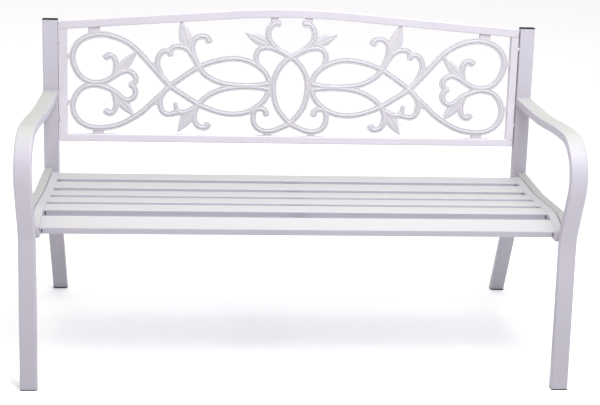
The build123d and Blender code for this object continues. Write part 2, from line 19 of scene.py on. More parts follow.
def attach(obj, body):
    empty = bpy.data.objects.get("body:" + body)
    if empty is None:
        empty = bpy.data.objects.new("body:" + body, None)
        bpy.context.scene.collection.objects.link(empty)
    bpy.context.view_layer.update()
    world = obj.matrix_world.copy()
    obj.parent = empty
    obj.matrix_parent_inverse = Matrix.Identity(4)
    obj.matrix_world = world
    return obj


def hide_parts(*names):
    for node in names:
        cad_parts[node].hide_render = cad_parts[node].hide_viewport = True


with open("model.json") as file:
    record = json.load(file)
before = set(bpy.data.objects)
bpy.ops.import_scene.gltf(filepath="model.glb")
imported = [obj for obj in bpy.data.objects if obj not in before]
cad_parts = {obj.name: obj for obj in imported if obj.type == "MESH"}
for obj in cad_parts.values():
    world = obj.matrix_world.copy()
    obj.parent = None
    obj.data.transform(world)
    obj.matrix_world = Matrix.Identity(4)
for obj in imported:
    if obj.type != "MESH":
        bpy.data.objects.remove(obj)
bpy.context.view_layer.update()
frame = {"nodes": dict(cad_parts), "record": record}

LOG = logging.getLogger("garden_bench")
MM = 0.001
X_AXIS = np.array([1.0, 0.0, 0.0])
UP = np.array([0.0, 0.0, 1.0])
SMOOTH_BELOW = 38.0         # degrees; sharper edges stay crisp
BEAD_STEP = 1.0 * MM
BEAD_PITCH = 3.2 * MM
BEAD_RIPPLE = 0.12
HOLE_REACH = 80.0 * MM      # how far a hole's cutter runs out past a piece


class Slot(Enum):
    """Material slots of the record."""

    WHITE = "white_powder_coat"
    BLACK = "black_plastic"
    ZINC = "zinc_steel"


class Side(Enum):
    """The two ends of the bench, with the sign of X there."""

    RIGHT = 1
    LEFT = -1


# ---- surfaces ----------------------------------------------------------------
@dataclass
class Surface:
    """Points and faces of one or more closed shells.

    Args:
        points: array (n, 3).
        quads: array (k, 4) of point numbers.
        polygons: larger faces, such as the flat ends of a tube.
    """

    points: np.ndarray
    quads: np.ndarray
    polygons: list[list[int]] = field(default_factory=list)

    def mirrored(self) -> "Surface":
        """The mirror image about X = 0, its faces turned back outwards."""
        flipped = [polygon[::-1] for polygon in self.polygons]
        return Surface(self.points * np.array([-1.0, 1.0, 1.0]), self.quads[:, ::-1], flipped)

    def on(self, side: Side) -> "Surface":
        """This surface, or its mirror image for the left side."""
        return self if side is Side.RIGHT else self.mirrored()


def joined(surfaces: list[Surface]) -> Surface:
    """Several surfaces as one: points stacked, and face numbers shifted to match.

    Args:
        surfaces: the surfaces to put together.

    Returns:
        One surface that holds them all.
    """
    starts = np.cumsum([0] + [len(s.points) for s in surfaces[:-1]])
    points = np.vstack([s.points for s in surfaces])
    quads = np.vstack([s.quads.reshape(-1, 4) + start for s, start in zip(surfaces, starts)])
    polygons = [[int(i + start) for i in p] for s, start in zip(surfaces, starts) for p in s.polygons]
    return Surface(points, quads, polygons)


def grid_quads(rows: int, columns: int, wraps: bool) -> np.ndarray:
    """Faces of a grid of points, row by row.

    Args:
        rows: number of rows.
        columns: number of points in a row.
        wraps: whether the last column joins the first.

    Returns:
        Array (k, 4): for row i and column j the face (i, j), (i, j+1), (i+1, j+1), (i+1, j).
    """
    last = columns if wraps else columns - 1
    i, j = np.meshgrid(np.arange(rows - 1), np.arange(last), indexing="ij")
    after = (j + 1) % columns
    return np.stack([i * columns + j, i * columns + after, (i + 1) * columns + after, (i + 1) * columns + j],
                    axis=-1).reshape(-1, 4)


def tube(origins: np.ndarray, side: np.ndarray, along: np.ndarray, outlines: np.ndarray) -> Surface:
    """A closed outline carried along a line: point = origin + u * side + v * (along x side).

    Args:
        origins: array (n, 3), the line.
        side: one unit vector across the line, the same all along it.
        along: array (n, 3), unit tangents of the line.
        outlines: array (n, m, 2), or (m, 2) for the same outline all along.

    Returns:
        The surface with both ends closed.
    """
    lift = np.cross(along, side)
    if outlines.ndim == 2:
        outlines = np.broadcast_to(outlines, (len(origins),) + outlines.shape)
    points = origins[:, None] + outlines[..., :1] * side + outlines[..., 1:] * lift[:, None]
    rows, columns = outlines.shape[:2]
    first = list(range(columns))[::-1]
    last = list(range((rows - 1) * columns, rows * columns))
    return Surface(points.reshape(-1, 3), grid_quads(rows, columns, True), [first, last])


def rounded_rect(wide: float, deep: float, radius: float, inset: float = 0.0, steps: int = 5) -> np.ndarray:
    """Outline of a rectangle with round corners, turning left.

    Each corner is centre + r (cos a, sin a) over a quarter turn. A point on each flat, close to the corner,
    keeps the flat's shading flat.

    Args:
        wide: size across.
        deep: size the other way.
        radius: corner radius.
        inset: how far the whole outline is moved inwards.
        steps: segments in a corner.

    Returns:
        Array (4 * (steps + 3), 2).
    """
    half = np.array([wide, deep]) / 2 - inset
    r = max(radius - inset, 0.05 * MM)
    support = 0.2 * (half.min() - r)
    start = np.arange(4)[:, None] * math.pi / 2
    angle = start + np.linspace(0, math.pi / 2, steps + 1)
    centre = (half - r) * np.array([[1, 1], [-1, 1], [-1, -1], [1, -1]])
    arc = centre[:, None] + r * np.stack([np.cos(angle), np.sin(angle)], axis=-1)
    before = arc[:, :1] - support * np.stack([-np.sin(start), np.cos(start)], axis=-1)
    end = start + math.pi / 2
    after = arc[:, -1:] + support * np.stack([-np.sin(end), np.cos(end)], axis=-1)
    return np.concatenate([before, arc, after], axis=1).reshape(-1, 2)


def spun(vector: np.ndarray, angle: np.ndarray) -> np.ndarray:
    """Vectors (n, 2): one flat vector turned left by each angle."""
    cos, sin = np.cos(angle), np.sin(angle)
    return np.stack([cos * vector[0] - sin * vector[1], sin * vector[0] + cos * vector[1]], axis=-1)


def bent_line(corners: list[tuple[float, float]], radii: list[float], turn_step: float = 2.5,
              run_step: float = 0.06) -> tuple[np.ndarray, np.ndarray]:
    """Straight runs joined by arcs, in a plane.

    At a corner with turning angle t and radius r the arc starts r tan(t / 2) before the corner, about
    a centre at r to the side it turns to.

    Args:
        corners: the corner points, ends included.
        radii: arc radius at each inner corner.
        turn_step: degrees between points on an arc.
        run_step: most distance between points on a run.

    Returns:
        Points (n, 2) and unit tangents (n, 2).
    """
    places = np.array(corners, float)
    points, tangents = [], []
    start = places[0]

    def run_to(end: np.ndarray, direction: np.ndarray) -> None:
        """Adds a straight run from start up to, but without, its end."""
        count = max(1, math.ceil(np.linalg.norm(end - start) / run_step))
        share = np.arange(count)[:, None] / count
        points.append(start + share * (end - start))
        tangents.append(np.tile(direction, (count, 1)))

    for before, corner, after, radius in zip(places[:-2], places[1:-1], places[2:], radii):
        u = (corner - before) / np.linalg.norm(corner - before)
        v = (after - corner) / np.linalg.norm(after - corner)
        turn = math.atan2(u[0] * v[1] - u[1] * v[0], float(u @ v))
        begin = corner - u * radius * math.tan(abs(turn) / 2)
        centre = begin + radius * math.copysign(1.0, turn) * np.array([-u[1], u[0]])
        run_to(begin, u)
        count = max(3, math.ceil(abs(math.degrees(turn)) / turn_step))
        angle = np.linspace(0, turn, count + 1)
        arc = centre + spun(begin - centre, angle)
        points.append(arc[:-1])
        tangents.append(spun(u, angle)[:-1])
        start = arc[-1]
    last = (places[-1] - start) / np.linalg.norm(places[-1] - start)
    run_to(places[-1], last)
    points.append(places[-1:])
    tangents.append(last[None])
    return np.vstack(points), np.vstack(tangents)


def offset_line(corners: list[tuple[float, float]], distance: float) -> list[tuple[float, float]]:
    """A bent line moved sideways, to the right of its direction.

    Each run moves along its normal, and each corner goes to the crossing of its two moved runs.

    Args:
        corners: the corner points.
        distance: how far it moves.

    Returns:
        The moved corner points.
    """
    places = np.array(corners, float)
    run = np.diff(places, axis=0)
    run /= np.linalg.norm(run, axis=1)[:, None]
    aside = np.stack([run[:, 1], -run[:, 0]], axis=-1)
    bend = aside[:-1] + aside[1:]
    bend *= 2 / (bend * bend).sum(axis=1)[:, None]
    shift = np.vstack([aside[:1], bend, aside[-1:]])
    return [tuple(p) for p in places + shift * distance]


def side_view(x: float, flat: np.ndarray) -> np.ndarray:
    """Points (n, 3) at one X from side-view points (Y, Z)."""
    return np.column_stack([np.full(len(flat), x), flat])


def side_vectors(flat: np.ndarray) -> np.ndarray:
    """Vectors (n, 3) from side-view vectors (Y, Z)."""
    return np.column_stack([np.zeros(len(flat)), flat])


def cut_ring(surface: Surface, ring: slice, direction: np.ndarray, origin: np.ndarray,
             normal: np.ndarray) -> None:
    """Slides the points of one ring along a direction until they lie on a plane.

    point + t * direction, with t = (origin - point) . normal / direction . normal.

    Args:
        surface: the tube that is changed.
        ring: which points.
        direction: the way they slide.
        origin: a point of the plane.
        normal: the plane's normal.
    """
    points = surface.points[ring]
    t = ((origin - points) @ normal) / float(direction @ normal)
    surface.points[ring] = points + t[:, None] * direction


def bead(loop: np.ndarray, normal: np.ndarray, radius: float, sides: int = 8) -> Surface:
    """A weld bead round a joint: a rope carried along a closed line.

    Its radius is r (1 + BEAD_RIPPLE sin(2 pi d / BEAD_PITCH)) at distance d. The rope's circle lies across
    the line, in the plane of the joint's normal and the line's own outward normal.

    Args:
        loop: array (n, 3), the closed line, without its first point repeated.
        normal: unit normal of the joint's plane.
        radius: radius of the rope.
        sides: points round the rope.

    Returns:
        A closed ring.
    """
    steps = np.linalg.norm(np.roll(loop, -1, axis=0) - loop, axis=1)
    length = steps.sum()
    count = max(24, int(length / BEAD_STEP))
    at = np.linspace(0, length, count, endpoint=False)
    known = np.concatenate([[0], np.cumsum(steps)])
    closed = np.vstack([loop, loop[:1]])
    line = np.column_stack([np.interp(at, known, closed[:, k]) for k in range(3)])
    along = np.roll(line, -1, axis=0) - np.roll(line, 1, axis=0)
    along /= np.linalg.norm(along, axis=1)[:, None]
    out = np.cross(along, normal)
    out /= np.linalg.norm(out, axis=1)[:, None]
    waves = max(4, round(length / BEAD_PITCH))
    r = radius * (1 + BEAD_RIPPLE * np.sin(2 * math.pi * waves * at / length))
    angle = np.linspace(0, 2 * math.pi, sides, endpoint=False)
    circle = np.cos(angle)[None, :, None] * out[:, None] + np.sin(angle)[None, :, None] * normal
    points = line[:, None] + r[:, None, None] * circle
    quads = grid_quads(count + 1, sides, True) % (count * sides)
    return Surface(points.reshape(-1, 3), quads[:, ::-1])


def turned(centre: np.ndarray, axis: np.ndarray, rings: list[tuple[float, float, bool]],
           steps: int = 36) -> Surface:
    """A profile turned about an axis: point = centre + h * axis + r(a) (cos a, sin a).

    Where a ring is a hexagon, r(a) = r / cos(a mod 60 - 30 degrees) with r its half width across flats.

    Args:
        centre: point on the axis.
        axis: unit vector, along +X or -X.
        rings: (radius, height, is a hexagon) from the inner end to the outer one.
        steps: points round a ring.

    Returns:
        A closed surface with flat ends.
    """
    angle = np.arange(steps) * 2 * math.pi / steps
    sixth = math.pi / 3
    hexagon = 1 / np.cos(np.mod(angle, sixth) - sixth / 2)
    across = np.array([0.0, 1.0, 0.0])
    up = np.cross(axis, across)
    spoke = np.cos(angle)[:, None] * across + np.sin(angle)[:, None] * up
    rows = []
    for radius, height, six in rings:
        spread = radius * (hexagon if six else np.ones(steps))
        rows.append(centre + height * axis + spread[:, None] * spoke)
    count = len(rows)
    last = list(range((count - 1) * steps, count * steps))
    return Surface(np.vstack(rows), grid_quads(count, steps, True), [list(range(steps))[::-1], last])


def rounded_ends(flat: np.ndarray, tangent: np.ndarray, radius: float, last: float = 82.0) -> tuple:
    """A line with its two ends doubled for a quarter-round edge.

    At angle a the end's outline stands r (1 - sin a) inside the end and is r (1 - cos a) smaller.

    Args:
        flat: array (n, 2).
        tangent: array (n, 2).
        radius: the edge's radius r.
        last: the steepest angle, in degrees.

    Returns:
        Points, tangents and insets, with four entries for either end.
    """
    angle = np.radians([0, 30, 60, last])
    shrink = radius * (1 - np.cos(angle))
    pull = radius * (1 - np.sin(angle))
    clear = np.minimum(np.linalg.norm(flat - flat[0], axis=1), np.linalg.norm(flat - flat[-1], axis=1))
    inner = clear > 1.2 * radius
    head = flat[0] + tangent[0] * pull[::-1][:, None]
    tail = flat[-1] - tangent[-1] * pull[:, None]
    points = np.vstack([head, flat[inner], tail])
    ways = np.vstack([np.tile(tangent[0], (4, 1)), tangent[inner], np.tile(tangent[-1], (4, 1))])
    return points, ways, np.concatenate([shrink[::-1], np.zeros(inner.sum()), shrink])


# ---- finishes ----------------------------------------------------------------
@dataclass(frozen=True)
class NodeMaker:
    """Shorthand for building the nodes of a material or of the world."""

    owner: bpy.types.ID

    @property
    def tree(self) -> bpy.types.NodeTree:
        """The owner's node tree."""
        return self.owner.node_tree

    def feed(self, socket: bpy.types.NodeSocket, value: object) -> None:
        """Links a socket to another one, or sets its value; a colour becomes opaque."""
        if isinstance(value, bpy.types.NodeSocket):
            self.tree.links.new(value, socket)
        else:
            socket.default_value = (*value, 1.0) if isinstance(value, tuple) else value

    def feed_all(self, node: bpy.types.Node, **inputs: object) -> None:
        """Feeds a node's sockets by name, with _ for a space."""
        for name, value in inputs.items():
            self.feed(node.inputs[name.replace("_", " ")], value)

    def node(self, kind: str, **inputs: object) -> bpy.types.Node:
        """Adds a node and sets its sockets by name; a socket given as a value is linked.

        Args:
            kind: the node type's name.
            inputs: values or output sockets, with _ for a space.

        Returns:
            The new node.
        """
        made = self.tree.nodes.new(kind)
        self.feed_all(made, **inputs)
        return made

    def noise(self, scale: float, detail: float = 3.0, rough: float = 0.55) -> bpy.types.NodeSocket:
        """Noise over the object's own coordinates, 0 to 1, with scale in waves per metre."""
        where = self.node("ShaderNodeTexCoord").outputs["Object"]
        made = self.node("ShaderNodeTexNoise", Vector=where, Scale=scale, Detail=detail, Roughness=rough)
        return made.outputs["Fac"]

    def spread(self, value: bpy.types.NodeSocket, low: float, high: float, to_low: float,
               to_high: float) -> bpy.types.NodeSocket:
        """A value's range low..high stretched to to_low..to_high, and held at its ends."""
        made = self.node("ShaderNodeMapRange", Value=value, From_Min=low, From_Max=high, To_Min=to_low,
                         To_Max=to_high)
        return made.outputs["Result"]

    def mixed(self, share: bpy.types.NodeSocket, first: object, second: object) -> bpy.types.NodeSocket:
        """A colour between two colours."""
        made = self.tree.nodes.new("ShaderNodeMix")
        made.data_type = "RGBA"
        for number, value in ((0, share), (6, first), (7, second)):
            self.feed(made.inputs[number], value)
        return made.outputs[2]

    def math(self, how: str, first: object, second: object) -> bpy.types.NodeSocket:
        """A sum, product or other result of two values."""
        made = self.tree.nodes.new("ShaderNodeMath")
        made.operation = how
        for number, value in enumerate((first, second)):
            self.feed(made.inputs[number], value)
        return made.outputs[0]

    def bumped(self, height: bpy.types.NodeSocket, strength: float, depth: float) -> bpy.types.NodeSocket:
        """A normal that follows a height: strength 0 to 1, depth in metres."""
        return self.node("ShaderNodeBump", Strength=strength, Distance=depth, Height=height).outputs["Normal"]

    def height(self) -> bpy.types.NodeSocket:
        """Height above the floor."""
        where = self.node("ShaderNodeTexCoord").outputs["Object"]
        return self.node("ShaderNodeSeparateXYZ", Vector=where).outputs["Z"]

    def upward(self) -> bpy.types.NodeSocket:
        """How far the surface faces up: the normal's Z."""
        normal = self.node("ShaderNodeNewGeometry").outputs["Normal"]
        return self.node("ShaderNodeSeparateXYZ", Vector=normal).outputs["Z"]


def new_material(name: str) -> tuple[NodeMaker, bpy.types.Node]:
    """An empty material with a Principled shader.

    Args:
        name: the material's name.

    Returns:
        The node maker and the shader node.
    """
    material = bpy.data.materials.new(name)
    material.use_nodes = True
    maker = NodeMaker(material)
    return maker, material.node_tree.nodes["Principled BSDF"]


@dataclass(frozen=True)
class PowderCoat:
    """White satin powder coat: faint mottling, orange peel, thin spots of dust near the floor, with painted
    light and shade: its own tint on top-facing surfaces and a gain of the colour by height.
    """

    name: str
    tint: tuple[float, float, float]
    shade: tuple[float, float, float]
    # tint of top-facing surfaces: painted light and shade on the tops
    painted_top_shading: tuple[float, float, float]
    peel: float
    peel_scale: float
    roughness: float
    # gain of the colour low down: painted shade below 1, painted light above 1
    painted_low_gain: float
    fade: tuple[float, float]
    splash_top: float = 0.16
    splash_colour: tuple[float, float, float] = (0.36, 0.33, 0.29)
    speck_colour: tuple[float, float, float] = (0.42, 0.40, 0.38)
    peel_depth: float = 0.0004

    def build(self) -> bpy.types.Material:
        """Makes the material.

        The colour's gain is 1 above the fade's upper height and the low gain below its lower one: painted
        shade by height, and painted light where the gain is above 1.
        Spots of splashed dirt lie below splash_top.
        """
        make, shader = new_material(self.name)
        broad = make.spread(make.noise(5.0, 4.0), 0.35, 0.65, 0.0, 1.0)
        base = make.mixed(broad, self.tint, self.shade)
        # painted light and shade: surfaces that face up take their own tint, lighter or darker than the sides
        base = make.mixed(make.spread(make.upward(), 0.55, 0.98, 0.0, 1.0), base, self.painted_top_shading)
        # painted shade, and painted light where the gain is above 1: the colour scaled by height above the
        # floor
        height_shaded = make.node("ShaderNodeVectorMath")
        height_shaded.operation = "SCALE"
        make.feed(height_shaded.inputs[0], base)
        make.feed(height_shaded.inputs["Scale"], make.spread(make.height(), *self.fade, self.painted_low_gain, 1.0))
        low = make.spread(make.height(), 0.0, self.splash_top, 1.0, 0.0)
        splash = make.spread(make.noise(60.0, 6.0, 0.7), 0.52, 0.72, 0.0, 0.22)
        base = make.mixed(make.math("MULTIPLY", low, splash), height_shaded.outputs[0], self.splash_colour)
        specks = make.spread(make.noise(340.0, 2.0), 0.71, 0.76, 0.0, 0.16)
        base = make.mixed(specks, base, self.speck_colour)
        rough = make.spread(make.noise(22.0, 5.0), 0.3, 0.7, self.roughness - 0.06, self.roughness + 0.09)
        peel = make.math("MULTIPLY", make.noise(self.peel_scale, 2.0, 0.4), 0.7)
        wave = make.math("MULTIPLY", make.noise(70.0, 2.0), 0.6)
        normal = make.bumped(make.math("ADD", peel, wave), self.peel, self.peel_depth)
        make.feed_all(shader, Base_Color=base, Roughness=rough, Normal=normal, IOR=1.5, Coat_Weight=0.08,
                      Coat_Roughness=0.25)
        return make.owner


@dataclass(frozen=True)
class MouldedPlastic:
    """Black plastic with a fine moulded grain and a little dust."""

    name: str
    colour: tuple[float, float, float]

    def build(self) -> bpy.types.Material:
        """Makes the material."""
        make, shader = new_material(self.name)
        dust = make.spread(make.noise(90.0, 5.0, 0.7), 0.55, 0.8, 0.0, 0.08)
        base = make.mixed(dust, self.colour, (0.12, 0.117, 0.113))
        rough = make.spread(make.noise(160.0, 3.0), 0.3, 0.7, 0.62, 0.78)
        normal = make.bumped(make.noise(1500.0, 2.0), 0.25, 0.0003)
        make.feed_all(shader, Base_Color=base, Roughness=rough, Normal=normal, Specular_IOR_Level=0.12)
        return make.owner


@dataclass(frozen=True)
class ZincPlate:
    """Bright zinc on turned steel: fine mottling, with dull spots."""

    name: str
    colour: tuple[float, float, float]

    def build(self) -> bpy.types.Material:
        """Makes the material."""
        make, shader = new_material(self.name)
        spots = make.spread(make.noise(240.0, 4.0, 0.6), 0.45, 0.7, 0.0, 0.6)
        base = make.mixed(spots, self.colour, (0.46, 0.46, 0.45))
        rough = make.spread(make.noise(420.0, 3.0), 0.3, 0.7, 0.26, 0.46)
        normal = make.bumped(make.noise(900.0, 2.0), 0.15, 0.0002)
        make.feed_all(shader, Base_Color=base, Roughness=rough, Normal=normal, Metallic=1.0)
        return make.owner


@dataclass
class Finishes:
    """The bench's materials, made once. The four powder coats are one white paint, each tinted for its part
    as painted light and shade.
    """

    tube_coat: bpy.types.Material = field(init=False)
    seat_coat: bpy.types.Material = field(init=False)
    panel_coat: bpy.types.Material = field(init=False)
    cast_coat: bpy.types.Material = field(init=False)
    plastic: bpy.types.Material = field(init=False)
    zinc: bpy.types.Material = field(init=False)

    def __post_init__(self) -> None:
        """Builds each material."""
        # one white paint in four lit and shaded copies: tints, top tints and gains per part are painted light
        # and shade; the casting's coarser peel is its own sand-cast surface
        self.tube_coat = PowderCoat("powder_coat_tube", (0.450, 0.431, 0.490), (0.431, 0.415, 0.474),
                                    (0.385, 0.392, 0.372), 0.16, 620.0, 0.47, 0.80, (0.10, 0.50)).build()
        self.seat_coat = PowderCoat("powder_coat_seat", (0.430, 0.412, 0.470), (0.412, 0.397, 0.454),
                                    (0.430, 0.429, 0.432), 0.16, 620.0, 0.45, 0.90, (0.36, 0.41)).build()
        self.panel_coat = PowderCoat("powder_coat_panel", (0.530, 0.508, 0.558), (0.512, 0.492, 0.542),
                                     (0.540, 0.531, 0.549), 0.16, 620.0, 0.42, 1.22, (0.48, 0.74)).build()
        self.cast_coat = PowderCoat("powder_coat_cast", (0.520, 0.505, 0.540), (0.498, 0.485, 0.520),
                                    (0.540, 0.532, 0.548), 0.42, 420.0, 0.48, 1.08, (0.48, 0.74)).build()
        self.plastic = MouldedPlastic("moulded_black", (0.006, 0.006, 0.0065)).build()
        self.zinc = ZincPlate("zinc_plate", (0.70, 0.70, 0.71)).build()


def mesh_of(name: str, surface: Surface) -> bpy.types.Mesh:
    """A new mesh with a surface's points and faces."""
    mesh = bpy.data.meshes.new(name)
    mesh.from_pydata(surface.points.tolist(), [], surface.quads.tolist() + surface.polygons)
    return mesh


def into_scene(name: str, data: bpy.types.ID) -> bpy.types.Object:
    """A new object of the scene."""
    made = bpy.data.objects.new(name, data)
    bpy.context.scene.collection.objects.link(made)
    return made


def make_piece(name: str, surface: Surface, material: bpy.types.Material, nodes: list[str],
               sharp: float = SMOOTH_BELOW) -> bpy.types.Object:
    """Puts a surface into the scene as a piece of the bench.

    Args:
        name: the piece's name.
        surface: its points and faces.
        material: its finish.
        nodes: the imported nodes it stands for.
        sharp: edges that turn by more degrees than this stay crisp.

    Returns:
        The new object.
    """
    mesh = mesh_of(name, surface)
    mesh.polygons.foreach_set("use_smooth", np.ones(len(mesh.polygons), bool))
    mesh.update()
    mesh.set_sharp_from_angle(angle=math.radians(sharp))
    mesh.materials.append(material)
    piece = into_scene(name, mesh)
    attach(piece, "root")
    if nodes:
        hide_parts(*nodes)
    LOG.info("%s: %d points, stands for %s", name, len(surface.points), nodes or "no node")
    return piece


def drill(piece: bpy.types.Object, centres: list[np.ndarray], radius: float, floor_x: float) -> None:
    """Cuts round blind holes into a piece, from outside it along X to floor_x.

    Args:
        piece: the object that is cut.
        centres: points on the holes' axes.
        radius: the holes' radius.
        floor_x: X of the holes' flat floor, with its sign.
    """
    out = math.copysign(1.0, floor_x)
    cutters = []
    for centre in centres:
        start = np.array([floor_x, centre[1], centre[2]])
        surface = turned(start, X_AXIS * out, [(radius, 0.0, False), (radius, HOLE_REACH, False)], 48)
        cutter = into_scene("cutter", mesh_of("cutter", surface))
        change = piece.modifiers.new("hole", "BOOLEAN")
        change.operation = "DIFFERENCE"
        change.solver = "EXACT"
        change.object = cutter
        cutters.append(cutter)
    graph = bpy.context.evaluated_depsgraph_get()
    cut = bpy.data.meshes.new_from_object(piece.evaluated_get(graph))
    piece.modifiers.clear()
    piece.data = cut
    cut.set_sharp_from_angle(angle=math.radians(SMOOTH_BELOW))
    for cutter in cutters:
        bpy.data.objects.remove(cutter, do_unlink=True)


# ---- the bench's main lines --------------------------------------------------
@dataclass
class BenchLines:
    """Sizes shared by the sub-assemblies, and the lines that they follow."""

    half_width: float = 0.660
    foot_reach: float = 0.333
    tube_wide: float = 0.040
    tube_deep: float = 0.022
    tube_corner: float = 0.004
    leg_lean: float = 0.119
    knee_height: float = 0.372
    arm_corner_y: float = -0.3445
    arm_crest: float = 0.620
    arm_rest: float = 0.6055
    arm_fall: tuple[float, float] = (-0.157, -0.006)
    arm_radii: tuple[float, ...] = (0.110, 0.094, 1.0, 1.0)
    post_lean: float = 0.096
    post_face_y: float = 0.186
    post_length: float = 0.3945
    seat_height: float = 0.400
    leg_splay: float = 0.373
    post_bend: float = 0.120
    rail_tall: float = 0.030
    rail_corner: float = 0.003
    frame_rail_wide: float = 0.023
    rail_inset: float = 0.0005
    panel_rail_wide: float = 0.022
    seat_gap: float = 0.0015
    seat_line: tuple[tuple[float, float], ...] = ((0.152, 0.3972), (0.005, 0.3935), (-0.188, 0.4085),
                                                  (-0.266, 0.3838))
    seat_radii: tuple[float, float] = (0.300, 0.105)
    back_bolt_up: tuple[float, float] = (0.130, 0.338)
    wall: float = 0.0015
    panel_gap: float = 0.003

    @property
    def post_up(self) -> np.ndarray:
        """Unit vector up the posts."""
        angle = math.atan(self.post_lean)
        return np.array([0.0, math.sin(angle), math.cos(angle)])

    @property
    def post_front(self) -> np.ndarray:
        """Unit vector out of the posts' front faces."""
        up = self.post_up
        return np.array([0.0, -up[2], up[1]])

    @property
    def post_face(self) -> np.ndarray:
        """Point on the posts' front plane at seat height."""
        return np.array([0.0, self.post_face_y, self.seat_height])

    @property
    def tube_x(self) -> float:
        """X of the right side frame's tubes."""
        return self.half_width - self.tube_wide / 2

    @property
    def post_inner(self) -> float:
        """X of the right post's inner side."""
        return self.half_width - self.tube_wide

    @property
    def panel_end(self) -> float:
        """X of the back panel's right-hand end."""
        return self.post_inner - self.panel_gap

    @property
    def frame_rail_x(self) -> float:
        """X of the right side frame's seat rail."""
        return self.half_width - self.rail_inset - self.frame_rail_wide / 2

    @property
    def panel_rail_x(self) -> float:
        """X of the seat panel's right rail."""
        return self.frame_rail_x - self.frame_rail_wide / 2 - self.seat_gap - self.panel_rail_wide / 2

    @property
    def slat_end(self) -> float:
        """X where the slats meet the right panel rail."""
        return self.panel_rail_x - self.panel_rail_wide / 2

    def back_bolt_point(self, up: float) -> np.ndarray:
        """Point in the middle of a post's depth, a distance up from seat height, at X = 0."""
        return self.post_face + self.post_up * up - self.post_front * self.tube_deep / 2

    def arm_corners(self) -> list[tuple[float, float]]:
        """Corners of the front leg and arm's centre line, from the floor to the post."""
        half = self.tube_deep / 2
        foot = -self.foot_reach + half / math.cos(math.atan(self.leg_lean))
        crest, rest = self.arm_crest - half, self.arm_rest - half
        return [(foot, 0.0), (foot + self.leg_lean * self.knee_height, self.knee_height),
                (self.arm_corner_y, crest), (self.arm_fall[0], crest), (self.arm_fall[1], rest),
                (self.post_face_y + self.post_lean * (rest - self.seat_height), rest)]

    def post_corners(self) -> list[tuple[float, float]]:
        """Corners of the post and rear leg's centre line, from the cap to the floor."""
        top = self.post_face + self.post_up * self.post_length
        face_y = self.foot_reach - self.tube_deep / math.cos(math.atan(self.leg_splay))
        rise = face_y - self.post_face_y + self.post_lean * self.seat_height
        bend = rise / (self.post_lean + self.leg_splay)
        face = [(top[1], top[2]), (face_y - self.leg_splay * bend, bend), (face_y, 0.0)]
        return offset_line(face, -self.tube_deep / 2)

    def seat_points(self, below: float, ends: tuple[float, float]) -> tuple[np.ndarray, np.ndarray]:
        """The seat's line some way below its top, run on past its ends.

        Args:
            below: distance under the top line.
            ends: extra length at the back and at the front.

        Returns:
            Points (n, 2) and tangents (n, 2), from back to front.
        """
        corners = np.array(self.seat_line)
        runs = corners[0] - corners[1], corners[-1] - corners[-2]
        back = corners[0] + ends[0] * runs[0] / np.linalg.norm(runs[0])
        front = corners[-1] + ends[1] * runs[1] / np.linalg.norm(runs[1])
        line = offset_line([tuple(back), *self.seat_line[1:-1], tuple(front)], -below)
        return bent_line(line, [self.seat_radii[0] + below, self.seat_radii[1] - below])

    def seat_z(self, y: float) -> float:
        """Height of the seat's top line at one Y."""
        line, _ = bent_line(list(self.seat_line), list(self.seat_radii), 0.5, 0.004)
        return float(np.interp(-y, -line[:, 0], line[:, 1]))


